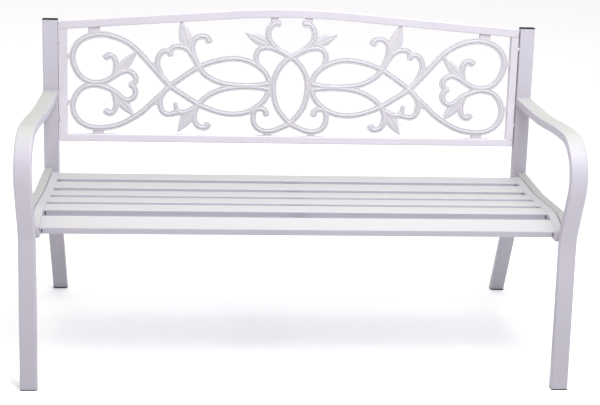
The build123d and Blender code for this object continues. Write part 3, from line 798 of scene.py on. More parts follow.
# ---- side frames -------------------------------------------------------------
@dataclass
class SideFrames:
    """Both side frames: bent tubes, seat rails, weld beads, caps and glides.

    The access holes in the posts' outer walls have the radius access.
    """

    lines: BenchLines
    finishes: Finishes
    glide: float = 0.003
    cap: float = 0.0038
    plug: float = 0.016
    saddle: float = 0.018
    rail_ends: tuple[float, float] = (0.040, 0.017)
    access: float = 0.008
    bead_radius: float = 0.0016

    def outline(self, inset: float = 0.0) -> np.ndarray:
        """The tube's outline, moved inwards by inset."""
        lines = self.lines
        return rounded_rect(lines.tube_wide, lines.tube_deep, lines.tube_corner, inset, 6)

    def arm_and_leg(self) -> Surface:
        """Front leg and arm: the tube's outline along the leg, round the knee and over the arm."""
        lines = self.lines
        flat, tangent = bent_line(lines.arm_corners(), list(lines.arm_radii))
        body = tube(side_view(lines.tube_x, flat), X_AXIS, side_vectors(tangent), self.outline())
        ring = len(self.outline())
        floor = self.glide * UP
        cut_ring(body, slice(0, ring), side_vectors(tangent[:1])[0], floor, UP)
        cut_ring(body, slice(-ring, None), side_vectors(tangent[-1:])[0], lines.post_face, lines.post_front)
        return body

    def post_and_leg(self) -> Surface:
        """Back post and rear leg: the tube's outline down the post and out along the leg."""
        lines = self.lines
        flat, tangent = bent_line(lines.post_corners(), [lines.post_bend])
        body = tube(side_view(lines.tube_x, flat), X_AXIS, side_vectors(tangent), self.outline())
        ring = len(self.outline())
        floor = self.glide * UP
        cut_ring(body, slice(-ring, None), side_vectors(tangent[-1:])[0], floor, UP)
        return body

    def seat_rail(self) -> Surface:
        """Seat rail: a narrow tube along the seat's line.

        Near the post its top rises by R - sqrt(R^2 - (R - d)^2), with d the distance to the post, which
        makes the hollow blend of the weld.
        """
        lines = self.lines
        flat, tangent = lines.seat_points(lines.rail_tall / 2, self.rail_ends)
        fine = lines.post_face_y - np.linspace(0, self.saddle, 9)
        order = np.argsort(-np.concatenate([flat[:, 0], fine]))
        y = np.concatenate([flat[:, 0], fine])[order]
        z = np.interp(-y, -flat[:, 0], flat[:, 1])
        spin = np.column_stack([np.interp(-y, -flat[:, 0], tangent[:, k]) for k in range(2)])
        spin /= np.linalg.norm(spin, axis=1)[:, None]
        outline = rounded_rect(lines.frame_rail_wide, lines.rail_tall, lines.rail_corner, 0.0, 4)
        near = np.clip(self.saddle - (lines.post_face_y - y), 0, self.saddle)
        rise = self.saddle - np.sqrt(self.saddle ** 2 - near ** 2)
        # the line runs from back to front, so the outline's -v side is its top
        outlines = np.repeat(outline[None], len(y), axis=0)
        top = outline[:, 1] < 0
        outlines[:, top, 1] -= rise[:, None]
        origins = side_view(lines.frame_rail_x, np.column_stack([y, z]))
        return tube(origins, X_AXIS, side_vectors(spin), outlines)

    def stack(self, levels: list[tuple[float, float]], centre: np.ndarray, up: np.ndarray, slope: np.ndarray,
              stretch: float) -> Surface:
        """Outlines one above another: the shape of a cap or a glide.

        Args:
            levels: (height, inset) of each outline, from below upwards.
            centre: where height 0 lies.
            up: the outlines' normal.
            slope: how the centre moves per unit of height.
            stretch: how much longer the outline is along its second axis.

        Returns:
            The closed stack.
        """
        heights = np.array([level for level, _ in levels])
        outlines = np.array([self.outline(inset) * [1.0, stretch] for _, inset in levels])
        origins = centre + heights[:, None] * slope
        return tube(origins, X_AXIS, np.tile(up, (len(levels), 1)), outlines)

    def post_cap(self) -> Surface:
        """Cap: a plate with a small lip, crowned on top, and a plug inside the tube."""
        lines = self.lines
        middle = lines.post_face + lines.post_up * lines.post_length - lines.post_front * lines.tube_deep / 2
        centre = middle + X_AXIS * lines.tube_x
        wall = lines.wall
        levels = [(-self.plug, wall + 0.0006), (-self.plug + 0.001, wall), (-0.0001, wall),
                  (0.0, 0.0003), (0.0003, 0.0), (self.cap - 0.0014, 0.0), (self.cap - 0.0007, 0.0002),
                  (self.cap - 0.0002, 0.0008), (self.cap, 0.0016), (self.cap, 0.006)]
        return self.stack(levels, centre, lines.post_up, lines.post_up, 1.0)

    def foot_glide(self, foot: tuple[float, float], lean: float) -> Surface:
        """Glide: a thin pad under the tube's level end, and a plug inside it.

        Args:
            foot: side-view point where the tube's centre line meets the floor.
            lean: how the tube's centre moves along Y per unit of height.

        Returns:
            The closed glide.
        """
        stretch = 1 / math.cos(math.atan(lean))
        wall = self.lines.wall
        levels = [(0.0, 0.0012), (0.0004, 0.0004), (0.0010, 0.0), (self.glide - 0.0003, 0.0),
                  (self.glide, 0.0003), (self.glide + 0.0001, wall), (self.glide + self.plug, wall)]
        centre = np.array([self.lines.tube_x, foot[0], 0.0])
        return self.stack(levels, centre, UP, np.array([0.0, lean, 1.0]), stretch)

    def weld_bead(self) -> Surface:
        """Weld bead round the arm's end, where it meets the post."""
        lines = self.lines
        rest = lines.arm_rest - lines.tube_deep / 2
        face_y = lines.post_face_y + lines.post_lean * (rest - lines.seat_height)
        centre = np.array([lines.tube_x, face_y, rest])
        outline = self.outline()
        loop = centre + outline[:, :1] * X_AXIS + outline[:, 1:] * lines.post_up
        return bead(loop, lines.post_front, self.bead_radius)

    def build(self) -> None:
        """Makes the pieces of both side frames."""
        lines = self.lines
        coat, plastic = self.finishes.tube_coat, self.finishes.plastic
        front_foot = lines.arm_corners()[0]
        rear_foot = lines.post_corners()[-1]
        parts = [
            ("arm_and_front_leg", self.arm_and_leg(), coat, Slot.WHITE),
            ("back_post_and_rear_leg", self.post_and_leg(), coat, Slot.WHITE),
            ("frame_seat_rail", self.seat_rail(), coat, Slot.WHITE),
            ("post_cap", self.post_cap(), plastic, Slot.BLACK),
            ("front_foot_glide", self.foot_glide(front_foot, lines.leg_lean), plastic, Slot.BLACK),
            ("rear_foot_glide", self.foot_glide(rear_foot, -lines.leg_splay), plastic, Slot.BLACK),
        ]
        weld = self.weld_bead()
        holes = [lines.back_bolt_point(up) for up in lines.back_bolt_up]
        floor_x = lines.post_inner + lines.wall
        for side in Side:
            end = "_" + side.name.lower()
            for name, surface, material, slot in parts:
                piece = make_piece(name + end + "_skin", surface.on(side), material, [name + end])
                if name == "back_post_and_rear_leg":
                    drill(piece, holes, self.access, side.value * floor_x)
            make_piece("side_frame_welds" + end, weld.on(side), coat, [])


# ---- seat --------------------------------------------------------------------
@dataclass
class SeatPanel:
    """The bolt-on seat: two bent rails and the slats between them."""

    lines: BenchLines
    finishes: Finishes
    slats: int = 6
    slat_wide: float = 0.050
    slat_deep: float = 0.018
    slat_corner: float = 0.0025
    pitch: float = 0.072
    first_back: float = 0.145
    lip_drop: float = 0.024
    lip_radius: float = 0.017
    vent: tuple[float, float] = (0.003, 0.010)
    vent_inset: float = 0.005
    pocket: float = 0.012
    end_round: float = 0.0025

    def rail(self) -> Surface:
        """Side rail: an outline along the seat's line and down at the lip, with its ends rounded off."""
        lines = self.lines
        corners = [*lines.seat_line, (lines.seat_line[-1][0], lines.seat_line[-1][1] - self.lip_drop)]
        half = lines.rail_tall / 2
        radii = [lines.seat_radii[0] + half, lines.seat_radii[1] - half, self.lip_radius]
        flat, tangent = bent_line(offset_line(corners, -half), radii)
        flat, tangent, inset = rounded_ends(flat, tangent, self.end_round, 80.0)
        size = (lines.panel_rail_wide, lines.rail_tall, lines.rail_corner)
        outlines = np.array([rounded_rect(*size, i, 4) for i in inset])
        return tube(side_view(lines.panel_rail_x, flat), X_AXIS, side_vectors(tangent), outlines)

    def slat(self, index: int) -> Surface:
        """A slat: its outline along X, with a drain slot in the front face near each end.

        The slot's faces are left out of the grid, and a pocket takes their place.

        Args:
            index: 0 for the slat at the back.

        Returns:
            The closed slat.
        """
        lines = self.lines
        back_y = self.first_back - index * self.pitch
        front_y = back_y - self.slat_wide
        back = np.array([0.0, back_y, lines.seat_z(back_y)])
        front = np.array([0.0, front_y, lines.seat_z(front_y)])
        across = (back - front) / np.linalg.norm(back - front)
        up = np.cross(X_AXIS, across)
        middle = (back + front) / 2 - up * self.slat_deep / 2
        outline = rounded_rect(self.slat_wide, self.slat_deep, self.slat_corner, 0.0, 5)
        steps = len(outline) // 4
        half = self.vent[1] / 2
        face = [[-self.slat_wide / 2, half], [-self.slat_wide / 2, -half]]
        outline = np.vstack([outline[:2 * steps], face, outline[2 * steps:]])
        centre = lines.slat_end - self.vent_inset
        edge = np.array([lines.slat_end, centre + self.vent[0] / 2, centre - self.vent[0] / 2])
        inner = np.linspace(-edge[2], edge[2], 25)[1:-1]
        x = np.concatenate([-edge, inner, edge[::-1]])
        origins = middle + x[:, None] * X_AXIS
        body = tube(origins, across, np.tile(X_AXIS, (len(x), 1)), outline)
        columns = len(outline)
        corner = 2 * steps
        keep = np.ones(len(body.quads), bool)
        pockets = []
        for row in (1, len(x) - 3):
            keep[row * columns + corner] = False
            rim = np.array([row * columns + corner, row * columns + corner + 1,
                            (row + 1) * columns + corner + 1, (row + 1) * columns + corner])
            pockets.append(rim)
        points = body.points
        quads = [body.quads[keep]]
        for rim in pockets:
            start = len(points)
            points = np.vstack([points, points[rim] + across * self.pocket])
            floor = np.arange(4) + start
            quads.append(np.stack([rim, np.roll(rim, -1), np.roll(floor, -1), floor], axis=-1))
            quads.append(floor[None])
        return Surface(points, np.vstack(quads), body.polygons)

    def build(self) -> None:
        """Makes the rails and the slats."""
        coat = self.finishes.seat_coat
        rail = self.rail()
        for side in Side:
            name = "seat_panel_rail_" + side.name.lower()
            make_piece(name + "_skin", rail.on(side), coat, [name])
        for index in range(self.slats):
            name = "seat_slat_" + str(index + 1)
            make_piece(name + "_skin", self.slat(index), coat, [name], sharp=30.0)


# ---- back panel --------------------------------------------------------------
@dataclass
class BackPanel:
    """The framed scroll back: arched top bar, bottom bar, stiles and the casting between them.

    Lines of the panel are given by x along the bench and y up from the panel's lower edge.
    """

    lines: BenchLines
    finishes: Finishes
    bottom: float = 0.0715
    bar: float = 0.020
    bar_corner: float = 0.002
    top_tall: float = 0.022
    top_slim: float = 0.99
    end_tall: float = 0.3205
    shoulder: tuple[float, float] = (0.150, 0.357)
    peak: float = 0.3625
    end_round: float = 0.0025
    bite: float = 0.0003

    @property
    def end_x(self) -> float:
        """X of the panel's right-hand end."""
        return self.lines.panel_end

    @property
    def setback(self) -> float:
        """How far the bars' front is behind the posts' front."""
        return (self.lines.tube_deep - self.bar) / 2

    def place(self, flat: np.ndarray, behind: object) -> np.ndarray:
        """Panel points (x, y) in space, at a distance behind the posts' front plane.

        Args:
            flat: array (n, 2).
            behind: one distance, or one for each point.

        Returns:
            Array (n, 3).
        """
        lines = self.lines
        origin = lines.post_face + lines.post_up * self.bottom
        depth = np.broadcast_to(np.asarray(behind, float), (len(flat),))
        return origin + flat[:, :1] * X_AXIS + flat[:, 1:] * lines.post_up - depth[:, None] * lines.post_front

    def bar_along(self, flat: np.ndarray, tangent: np.ndarray, tall: float, inset: np.ndarray) -> Surface:
        """A bar whose outline follows a line of the panel.

        Args:
            flat: array (n, 2), the bar's centre line.
            tangent: array (n, 2).
            tall: the bar's size in the panel's plane.
            inset: how much smaller the outline is at each point.

        Returns:
            The closed bar.
        """
        lines = self.lines
        along = tangent[:, :1] * X_AXIS + tangent[:, 1:] * lines.post_up
        outlines = np.array([rounded_rect(self.bar, tall, self.bar_corner, i, 4) for i in inset])
        return tube(self.place(flat, self.setback + self.bar / 2), lines.post_front, along, outlines)

    def top_line(self, below: float) -> tuple[np.ndarray, np.ndarray]:
        """The top bar's line: straight from each end to the shoulder, and a low arc between.

        The arc is the circle through both shoulders and the peak.

        Args:
            below: distance under the bar's top edge, straight down.

        Returns:
            Points and tangents, from right to left.
        """
        sx, sy = self.shoulder
        rise = self.peak - sy
        radius = (sx ** 2 + rise ** 2) / (2 * rise)
        sweep = math.asin(sx / radius)
        angle = np.linspace(sweep, -sweep, 21)
        arc = np.column_stack([radius * np.sin(angle), self.peak - radius + radius * np.cos(angle)])
        share = np.linspace(0, 1, 12)[:-1, None]
        right = np.array([self.end_x, self.end_tall]) * (1 - share) + arc[0] * share
        line = np.vstack([right, arc, (right * [-1, 1])[::-1]])
        line[:, 1] -= below
        tangent = np.gradient(line, axis=0)
        tangent /= np.linalg.norm(tangent, axis=1)[:, None]
        return line, tangent

    def top_bar(self) -> Surface:
        """Top bar, its ends closed and rounded, with upright end faces."""
        flat, tangent = self.top_line(self.top_tall / 2)
        points, ways, inset = rounded_ends(flat, tangent, self.end_round)
        return self.bar_along(points, ways, self.top_tall * self.top_slim, inset)

    def bottom_bar(self) -> Surface:
        """Bottom bar, its ends closed and rounded."""
        rows = 30
        x = np.linspace(self.end_x, -self.end_x, rows)
        flat = np.column_stack([x, np.full(rows, self.bar / 2)])
        points, ways, inset = rounded_ends(flat, np.tile([-1.0, 0.0], (rows, 1)), self.end_round)
        return self.bar_along(points, ways, self.bar, inset)

    def stile(self) -> Surface:
        """Right-hand stile: stands on the bottom bar, and its top is cut to the slope of the top bar."""
        low_end = self.end_tall - self.top_tall
        rows = 14
        y = np.linspace(self.bar - self.bite, low_end, rows)
        flat = np.column_stack([np.full(rows, self.end_x - self.bar / 2), y])
        body = self.bar_along(flat, np.tile([0.0, 1.0], (rows, 1)), self.bar, np.zeros(rows))
        corner = self.place(np.array([[self.end_x, low_end + self.bite]]), 0.0)[0]
        slope = (self.shoulder[1] - self.end_tall) / (self.end_x - self.shoulder[0])
        normal = slope * X_AXIS + self.lines.post_up
        ring = len(body.points) // rows
        cut_ring(body, slice(-ring, None), self.lines.post_up, corner, normal)
        return body

    def build(self) -> None:
        """Makes the bars and stiles."""
        coat = self.finishes.panel_coat
        make_piece("back_top_bar_skin", self.top_bar(), coat, ["back_top_bar"])
        make_piece("back_bottom_bar_skin", self.bottom_bar(), coat, ["back_bottom_bar"])
        stile = self.stile()
        for side in Side:
            name = "back_stile_" + side.name.lower()
            make_piece(name + "_skin", stile.on(side), coat, [name])


@dataclass(frozen=True)
class Stroke:
    """One strand of the scrollwork.

    Args:
        points: centre line in millimetres, in the panel's x and y.
        flare: how much wider the first and the last tip are.
        width: width of the strand.
        flare_run: how far from a tip the flare begins.
    """

    points: tuple[tuple[float, float], ...]
    flare: tuple[float, float] = (1.0, 1.0)
    width: float = 17.0
    flare_run: float = 26.0

    def swell(self, line: np.ndarray) -> np.ndarray:
        """How much wider the strand is along its line: 1 + (f - 1) (1 + cos(pi d / F)) / 2 near a tip.

        Args:
            line: array (n, 2), the strand's line, in millimetres.

        Returns:
            Array (n,), with d the distance to a tip up to F, its flare_run, and f that tip's flare.
        """
        reach = np.concatenate([[0], np.cumsum(np.linalg.norm(np.diff(line, axis=0), axis=1))])
        near = [np.clip(d / self.flare_run, 0, 1) for d in (reach, reach[-1] - reach)]
        grown = [(f - 1) * (1 + np.cos(math.pi * d)) / 2 for f, d in zip(self.flare, near)]
        return 1 + grown[0] + grown[1]

    def smooth_line(self, step: float = 2.0) -> tuple[np.ndarray, np.ndarray]:
        """The natural cubic curve through the points, at even steps.

        Over each span the curve is a cubic with matching slope and curvature at its ends and no curvature
        at the strand's tips; the parameter is the length of the straight lines between points.

        Args:
            step: distance between the returned points, in millimetres.

        Returns:
            Points (n, 2) and unit tangents (n, 2), in millimetres.
        """
        known = np.array(self.points, float)
        span = np.linalg.norm(np.diff(known, axis=0), axis=1)
        t = np.concatenate([[0], np.cumsum(span)])
        count = len(known)
        system = np.eye(count)
        right = np.zeros((count, 2))
        inner = np.arange(1, count - 1)
        system[inner, inner - 1] = span[:-1]
        system[inner, inner] = 2 * (span[:-1] + span[1:])
        system[inner, inner + 1] = span[1:]
        slope = np.diff(known, axis=0) / span[:, None]
        right[1:-1] = 6 * np.diff(slope, axis=0)
        bend = np.linalg.solve(system, right)
        fine = np.linspace(0, t[-1], 40 * count)
        k = np.clip(np.searchsorted(t, fine, side="right") - 1, 0, count - 2)
        h = span[k][:, None]
        a = (t[k + 1] - fine)[:, None] / h
        b = 1 - a
        curve = a * known[k] + b * known[k + 1]
        curve += ((a ** 3 - a) * bend[k] + (b ** 3 - b) * bend[k + 1]) * h * h / 6
        reach = np.concatenate([[0], np.cumsum(np.linalg.norm(np.diff(curve, axis=0), axis=1))])
        even = np.linspace(0, reach[-1], max(8, int(reach[-1] / step)))
        line = np.column_stack([np.interp(even, reach, curve[:, n]) for n in range(2)])
        tangent = np.gradient(line, axis=0)
        return line, tangent / np.linalg.norm(tangent, axis=1)[:, None]


@dataclass(frozen=True)
class Leaf:
    """A pointed leaf with a crease down the middle, in the panel's millimetres."""

    base: tuple[float, float]
    tip: tuple[float, float]
    width: float


@dataclass
class ScrollCasting:
    """The scrollwork, cast in one piece: strands with a raised bead, leaves and lugs.

    The front is one height field. Each strand or leaf gives a height at a point, the higher one counts, and
    where two are close they run into each other, as in a cast surface.
    """

    panel: BackPanel
    thick: float = 11.0
    front: float = 2.0
    strokes: tuple[Stroke, ...] = (
        # upper eye line, crossing, lower end scroll, turned in to the lower heart lobe
        Stroke(((58, 168), (67, 189), (84, 206), (113, 222), (148, 229), (181, 226), (214, 218), (248, 204),
                (285, 180), (323, 152), (347, 129), (373, 105), (396, 83), (427, 62), (462, 45), (505, 37),
                (539, 40), (567, 56), (581, 80), (582, 101), (574, 124), (556, 144), (533, 152), (510, 151),
                (489, 144), (470, 134), (453, 120), (437, 113), (422, 119), (416, 136), (421, 148),
                (429, 154))),
        # lower eye line, crossing, upper end scroll, turned in to the upper heart lobe
        Stroke(((58, 142), (67, 122), (84, 104), (113, 86), (148, 79), (181, 81), (214, 90), (248, 104),
                (285, 127), (323, 152), (352, 181), (375, 207), (402, 237), (427, 260), (461, 278),
                (503, 287),
                (537, 282), (567, 264), (581, 237), (582, 220), (574, 194), (557, 171), (534, 160),
                (512, 159),
                (491, 165), (471, 177), (454, 187), (439, 191), (422, 184), (415, 168), (421, 158),
                (429, 154))),
        # inner line of the upper eye, carried up to the hooked sprig
        Stroke(((58, 163), (80, 159), (110, 157), (155, 158), (190, 164), (216, 175), (237, 191), (252, 214),
                (262, 240), (265, 262), (256, 280), (242, 287), (228, 285), (220, 273)), (1.0, 1.2)),
        # inner line of the lower eye, carried down to the hooked sprig
        Stroke(((58, 147), (80, 151), (110, 153), (152, 151), (184, 145), (207, 136), (228, 123), (247, 104),
                (257, 84), (258, 64), (251, 48), (238, 41), (226, 43), (221, 51)), (1.0, 1.2)),
        # cloud over the upper crossing
        Stroke(((248, 206), (266, 236), (280, 252), (297, 258), (313, 257), (323, 246), (323, 236))),
        Stroke(((323, 238), (331, 246), (343, 244), (354, 231), (358, 214), (354, 196), (344, 176),
                (330, 160))),
        # curl under the lower crossing
        Stroke(((262, 92), (276, 84), (296, 82), (306, 90), (309, 104)), (1.0, 0.7)),
        Stroke(((296, 82), (312, 79), (329, 76), (344, 84), (350, 102), (349, 120), (341, 134), (332, 146))),
        # middle oval, which crosses over above into the top hook and below into the foot scroll
        Stroke(((64, 78), (67, 88), (76, 94), (88, 94), (97, 86), (99, 73), (98, 58), (87, 41), (63, 33),
                (44, 35), (24, 43), (0, 55), (-14, 69), (-30, 89), (-42, 117), (-46, 144), (-45, 169),
                (-37, 194), (-20, 219), (0, 235), (28, 251), (50, 268), (61, 286), (62, 303), (54, 318),
                (44, 325), (33, 324)), (1.15, 1.2)),
        # hump between the top hook and the upper eye
        Stroke(((8, 238), (26, 248), (48, 257), (67, 260), (86, 254), (94, 238), (93, 221), (86, 208))),
        # hooks inside the end scrolls
        Stroke(((474, 176), (468, 194), (468, 212), (474, 227), (486, 232), (495, 225)), (1.0, 1.2)),
        Stroke(((474, 132), (469, 114), (468, 97), (474, 82), (486, 77), (495, 84)), (1.0, 1.2)),
    )
    leaves: tuple[Leaf, ...] = (
        Leaf((272, 242), (297, 330), 36),
        Leaf((257, 100), (304, 26), 34),
        Leaf((60, 268), (125, 299), 30),
        Leaf((468, 182), (410, 246), 28),
        Leaf((470, 126), (416, 68), 28),
        Leaf((348, 190), (372, 216), 14),
        Leaf((347, 122), (368, 98), 14),
    )
    # lugs that join the casting to the bars: x, y from, y to, width
    lugs: tuple[tuple[float, float, float, float], ...] = (
        (46, 326, 352, 20), (525, 290, 318, 30), (60, 12, 34, 22), (515, 12, 36, 30),
    )
    pads: tuple[float, ...] = (104.0, 228.0)
    pad_half: float = 6.5
    pad_reach: float = 12.0
    pad_in: float = 4.0
    middle_reach: float = 30.0
    soft: float = 0.8
    level: float = 2.2
    back_edge: float = 1.0
    back_share: float = 0.93
    # a strand's section: level margin, bead's height and half width, groove's depth, place and reach,
    # shoulder's drop and reach
    margin: float = 0.5
    bead: tuple[float, float] = (1.5, 0.42)
    groove: tuple[float, float, float] = (0.9, 0.5, 0.07)
    shoulder: tuple[float, float] = (0.9, 0.1)
    # a leaf's section: crown, drop below the front, crease's depth and reach
    crown: float = 2.6
    leaf_drop: float = 1.4
    crease: tuple[float, float] = (1.3, 0.14)
    # a lug: growth to either end, height of its front, drop at its edges
    lug_growth: float = 3.5
    lug_front: float = -0.4
    lug_edge: float = 1.6
    # where across a strand's half width its points lie, and the angles of its rounded tips
    half_row: tuple[float, ...] = (0, 0.11, 0.22, 0.31, 0.37, 0.415, 0.45, 0.5, 0.56, 0.64, 0.78, 0.9, 0.95,
                                   1.0)
    tip_angles: tuple[float, ...] = (85, 65, 45, 25, 10)
    blunt: float = 0.6
    # where across a leaf's half width its points lie
    leaf_row: tuple[float, ...] = (0, 0.04, 0.1, 0.18, 0.28, 0.42, 0.6, 0.75, 0.88, 0.96, 1)

    def strand_height(self, across: np.ndarray) -> np.ndarray:
        """Height of a strand's section, in millimetres, for across = 0 in the middle and 1 at the edge.

        A half-round bead, h sqrt(1 - (a / w)^2), a groove beside it, d exp(-((a - p) / r)^2), a level margin
        and a rounded shoulder that falls with the square of the distance.
        """
        a = np.abs(across)
        tall, wide = self.bead
        raised = tall * np.sqrt(np.clip(1 - (a / wide) ** 2, 0, 1))
        deep, place, reach = self.groove
        groove = deep * np.exp(-((a - place) / reach) ** 2)
        drop, run = self.shoulder
        return self.margin + raised - groove - drop * (np.clip(a - (1 - run), 0, run) / run) ** 2

    def leaf_height(self, across: np.ndarray) -> np.ndarray:
        """Height of a leaf's section: crown (1 - a^2) - drop, with a crease d exp(-(a / r)^2) deep."""
        deep, reach = self.crease
        return self.crown * (1 - across ** 2) - self.leaf_drop - deep * np.exp(-(across / reach) ** 2)

    def leaf_half(self, leaf: Leaf, share: np.ndarray) -> np.ndarray:
        """Half width of a leaf at a share of its length: w / 2 sin(pi s^0.8)."""
        return leaf.width / 2 * np.sin(math.pi * np.clip(share, 0, 1) ** 0.8)

    def leaf_axes(self, leaf: Leaf) -> tuple[np.ndarray, np.ndarray, np.ndarray, float]:
        """A leaf's base, unit vectors along and across it, and its length."""
        base = np.array(leaf.base, float)
        run = np.array(leaf.tip, float) - base
        length = float(np.linalg.norm(run))
        along = run / length
        return base, along, np.array([-along[1], along[0]]), length

    def field_height(self, at: np.ndarray, lines: list, leaves: list, own: np.ndarray) -> np.ndarray:
        """The casting's front height at points of the panel.

        For a strand the across value is the distance to its line over its half width. Two heights a and b
        join as max(a, b) + max(k - |a - b|, 0)^2 / 4k.

        Args:
            at: array (n, 2) in millimetres.
            lines: (points, tangents, half width) of the other strands.
            leaves: the other leaves.
            own: the height that the point's own strand or leaf gives.

        Returns:
            Array (n,).
        """
        soft = self.soft
        height = own.copy()

        def take(inside: np.ndarray, value: np.ndarray) -> None:
            """Joins in one more height at the points inside."""
            old = height[inside]
            apart = np.abs(old - value)
            height[inside] = np.maximum(old, value) + np.clip(soft - apart, 0, None) ** 2 / (4 * soft)

        for line, tangent, half in lines:
            box = ((at > line.min(0) - half) & (at < line.max(0) + half)).all(axis=1)
            if not box.any():
                continue
            chosen = np.flatnonzero(box)
            apart = at[chosen, None] - line[None]
            squared = (apart ** 2).sum(axis=2)
            nearest = squared.argmin(axis=1)
            offset = apart[np.arange(len(chosen)), nearest]
            ahead = (offset * tangent[nearest]).sum(axis=1)
            past = ((nearest == 0) & (ahead < 0)) | ((nearest == len(line) - 1) & (ahead > 0))
            side = np.sqrt(np.clip((offset ** 2).sum(axis=1) - np.where(past, 0, ahead ** 2), 0, None))
            near = side < half
            take(chosen[near], self.strand_height(side[near] / half))
        for leaf in leaves:
            base, along, across, length = self.leaf_axes(leaf)
            share = ((at - base) @ along) / length
            half = self.leaf_half(leaf, share)
            offset = np.abs((at - base) @ across)
            near = (share > 0) & (share < 1) & (offset < half)
            take(np.flatnonzero(near), self.leaf_height(offset[near] / half[near]))
        return height

    def shell(self, at: np.ndarray, height: np.ndarray, rows: int, columns: int) -> Surface:
        """A closed shell from a grid of panel points: a raised front, upright walls and a flat back.

        Args:
            at: array (rows * columns, 2) in millimetres.
            height: height of each point above the casting's level front.
            rows: rows of the grid.
            columns: points in a row.

        Returns:
            The closed shell, in metres.
        """
        flat = at.reshape(rows, columns, 2)
        behind = (self.front + self.level - height).reshape(rows, columns)
        back = np.full((rows, 1), self.front + self.thick)
        chamfer = back - self.back_edge
        middle = flat[:, columns // 2:columns // 2 + 1]
        right = middle + (flat[:, -1:] - middle) * self.back_share
        left = middle + (flat[:, :1] - middle) * self.back_share
        ring = np.concatenate([flat, flat[:, -1:], right, left, flat[:, :1]], axis=1)
        depth = np.concatenate([behind, chamfer, back, back, chamfer], axis=1)
        wide = columns + 4
        points = self.panel.place(ring.reshape(-1, 2) * MM, depth.reshape(-1) * MM)
        ends = [list(range(wide))[::-1], list(range((rows - 1) * wide, rows * wide))]
        return Surface(points, grid_quads(rows, wide, True), ends)

    def strand(self, number: int, lines: list, leaves: list) -> Surface:
        """One strand: a grid along its line and across its width, with rounded tips.

        Past the line's end the outline is half an ellipse: along blunt r sin a, half width r cos a.

        Args:
            number: which of the right-hand strands.
            lines: all strands' lines, this one's at the same number.
            leaves: all leaves.

        Returns:
            The closed strand.
        """
        line, tangent, half = lines[number]
        angle = np.radians(self.tip_angles)
        blunt = self.blunt * half
        head = line[0] - tangent[0] * (blunt * np.sin(angle))[:, None]
        tail = line[-1] + tangent[-1] * (blunt * np.sin(angle[::-1]))[:, None]
        centre = np.vstack([head, line, tail])
        extra = (len(angle), 1)
        way = np.vstack([np.tile(tangent[0], extra), tangent, np.tile(tangent[-1], extra)])
        swell = self.strokes[number].swell(line)
        narrow = np.concatenate([np.cos(angle) * swell[0], swell, np.cos(angle[::-1]) * swell[-1]])
        half_row = np.array(self.half_row)
        across = np.concatenate([-half_row[:0:-1], half_row])
        aside = np.column_stack([-way[:, 1], way[:, 0]])
        # the outline turns left as seen from the front, so it runs from the right of the line to its left
        at = centre[:, None] - aside[:, None] * (across[None, :, None] * (half * narrow)[:, None, None])
        at = at.reshape(-1, 2)
        tip = np.concatenate([np.sin(angle), np.zeros(len(line)), np.sin(angle[::-1])])
        body = np.concatenate([np.cos(angle), np.ones(len(line)), np.cos(angle[::-1])])
        reach = np.sqrt(tip[:, None] ** 2 + (across[None] * body[:, None]) ** 2).reshape(-1)
        own = self.strand_height(np.clip(reach, 0, 1))
        others = [entry for k, entry in enumerate(lines) if k != number]
        height = self.field_height(at, others, leaves, own)
        return self.shell(at, height, len(centre), len(across))

    def leaf(self, number: int, lines: list, leaves: list) -> Surface:
        """One leaf: a grid from base to tip and across its width.

        Args:
            number: which of the leaves.
            lines: all strands' lines.
            leaves: all leaves.

        Returns:
            The closed leaf.
        """
        leaf = leaves[number]
        base, along, across_way, length = self.leaf_axes(leaf)
        share = (1 - np.cos(np.linspace(0.09, math.pi - 0.05, 36))) / 2
        row = np.array(self.leaf_row)
        across = np.concatenate([-row[:0:-1], row])
        half = self.leaf_half(leaf, share)
        at = (base + (share * length)[:, None, None] * along
              - across[None, :, None] * half[:, None, None] * across_way).reshape(-1, 2)
        own = self.leaf_height(np.tile(across, len(share)))
        height = self.field_height(at, lines, [x for k, x in enumerate(leaves) if k != number], own)
        return self.shell(at, height, len(share), len(across))

    def lug(self, x: float, low: float, high: float, width: float) -> Surface:
        """A lug that widens towards its ends: half width = w / 2 + r (1 - cos b), b growing to either end."""
        share = np.linspace(-1, 1, 15)
        grown = 1 - np.sqrt(1 - np.clip(np.abs(share) - 0.1, 0, 0.9) ** 2)
        half = width / 2 + self.lug_growth * grown
        across = np.array([-1, -0.95, -0.88, -0.5, 0, 0.5, 0.88, 0.95, 1])
        y = (low + high) / 2 + share * (high - low) / 2
        at = np.stack([x + across[None] * half[:, None], np.repeat(y[:, None], len(across), axis=1)], axis=-1)
        fall = self.lug_edge * np.clip((np.abs(across) - 0.86) / 0.14, 0, 1) ** 2
        height = np.tile(self.lug_front - fall, len(y))
        return self.shell(at.reshape(-1, 2), height, len(y), len(across))

    def build(self) -> None:
        """Makes the casting as one piece."""
        right = [(*stroke.smooth_line(), stroke.width / 2) for stroke in self.strokes]
        flip = np.array([-1.0, 1.0])
        # left-hand strands count on the right only where they come near the middle
        left = [(line * flip, tangent * flip, half) for line, tangent, half in right
                if line[:, 0].min() < self.middle_reach]
        leaves = list(self.leaves)
        parts = [self.strand(k, right + left, leaves) for k in range(len(right))]
        parts += [self.leaf(k, right, leaves) for k in range(len(leaves))]
        parts += [self.lug(*lug) for lug in self.lugs]
        inner = (self.panel.end_x - self.panel.bar) / MM
        for y in self.pads:
            parts.append(self.lug(inner - self.pad_in, y - self.pad_half, y + self.pad_half, self.pad_reach))
        half = joined(parts)
        make_piece("back_scroll_casting_skin", joined([half, half.mirrored()]), self.panel.finishes.cast_coat,
                   ["back_scroll_casting"], sharp=50.0)


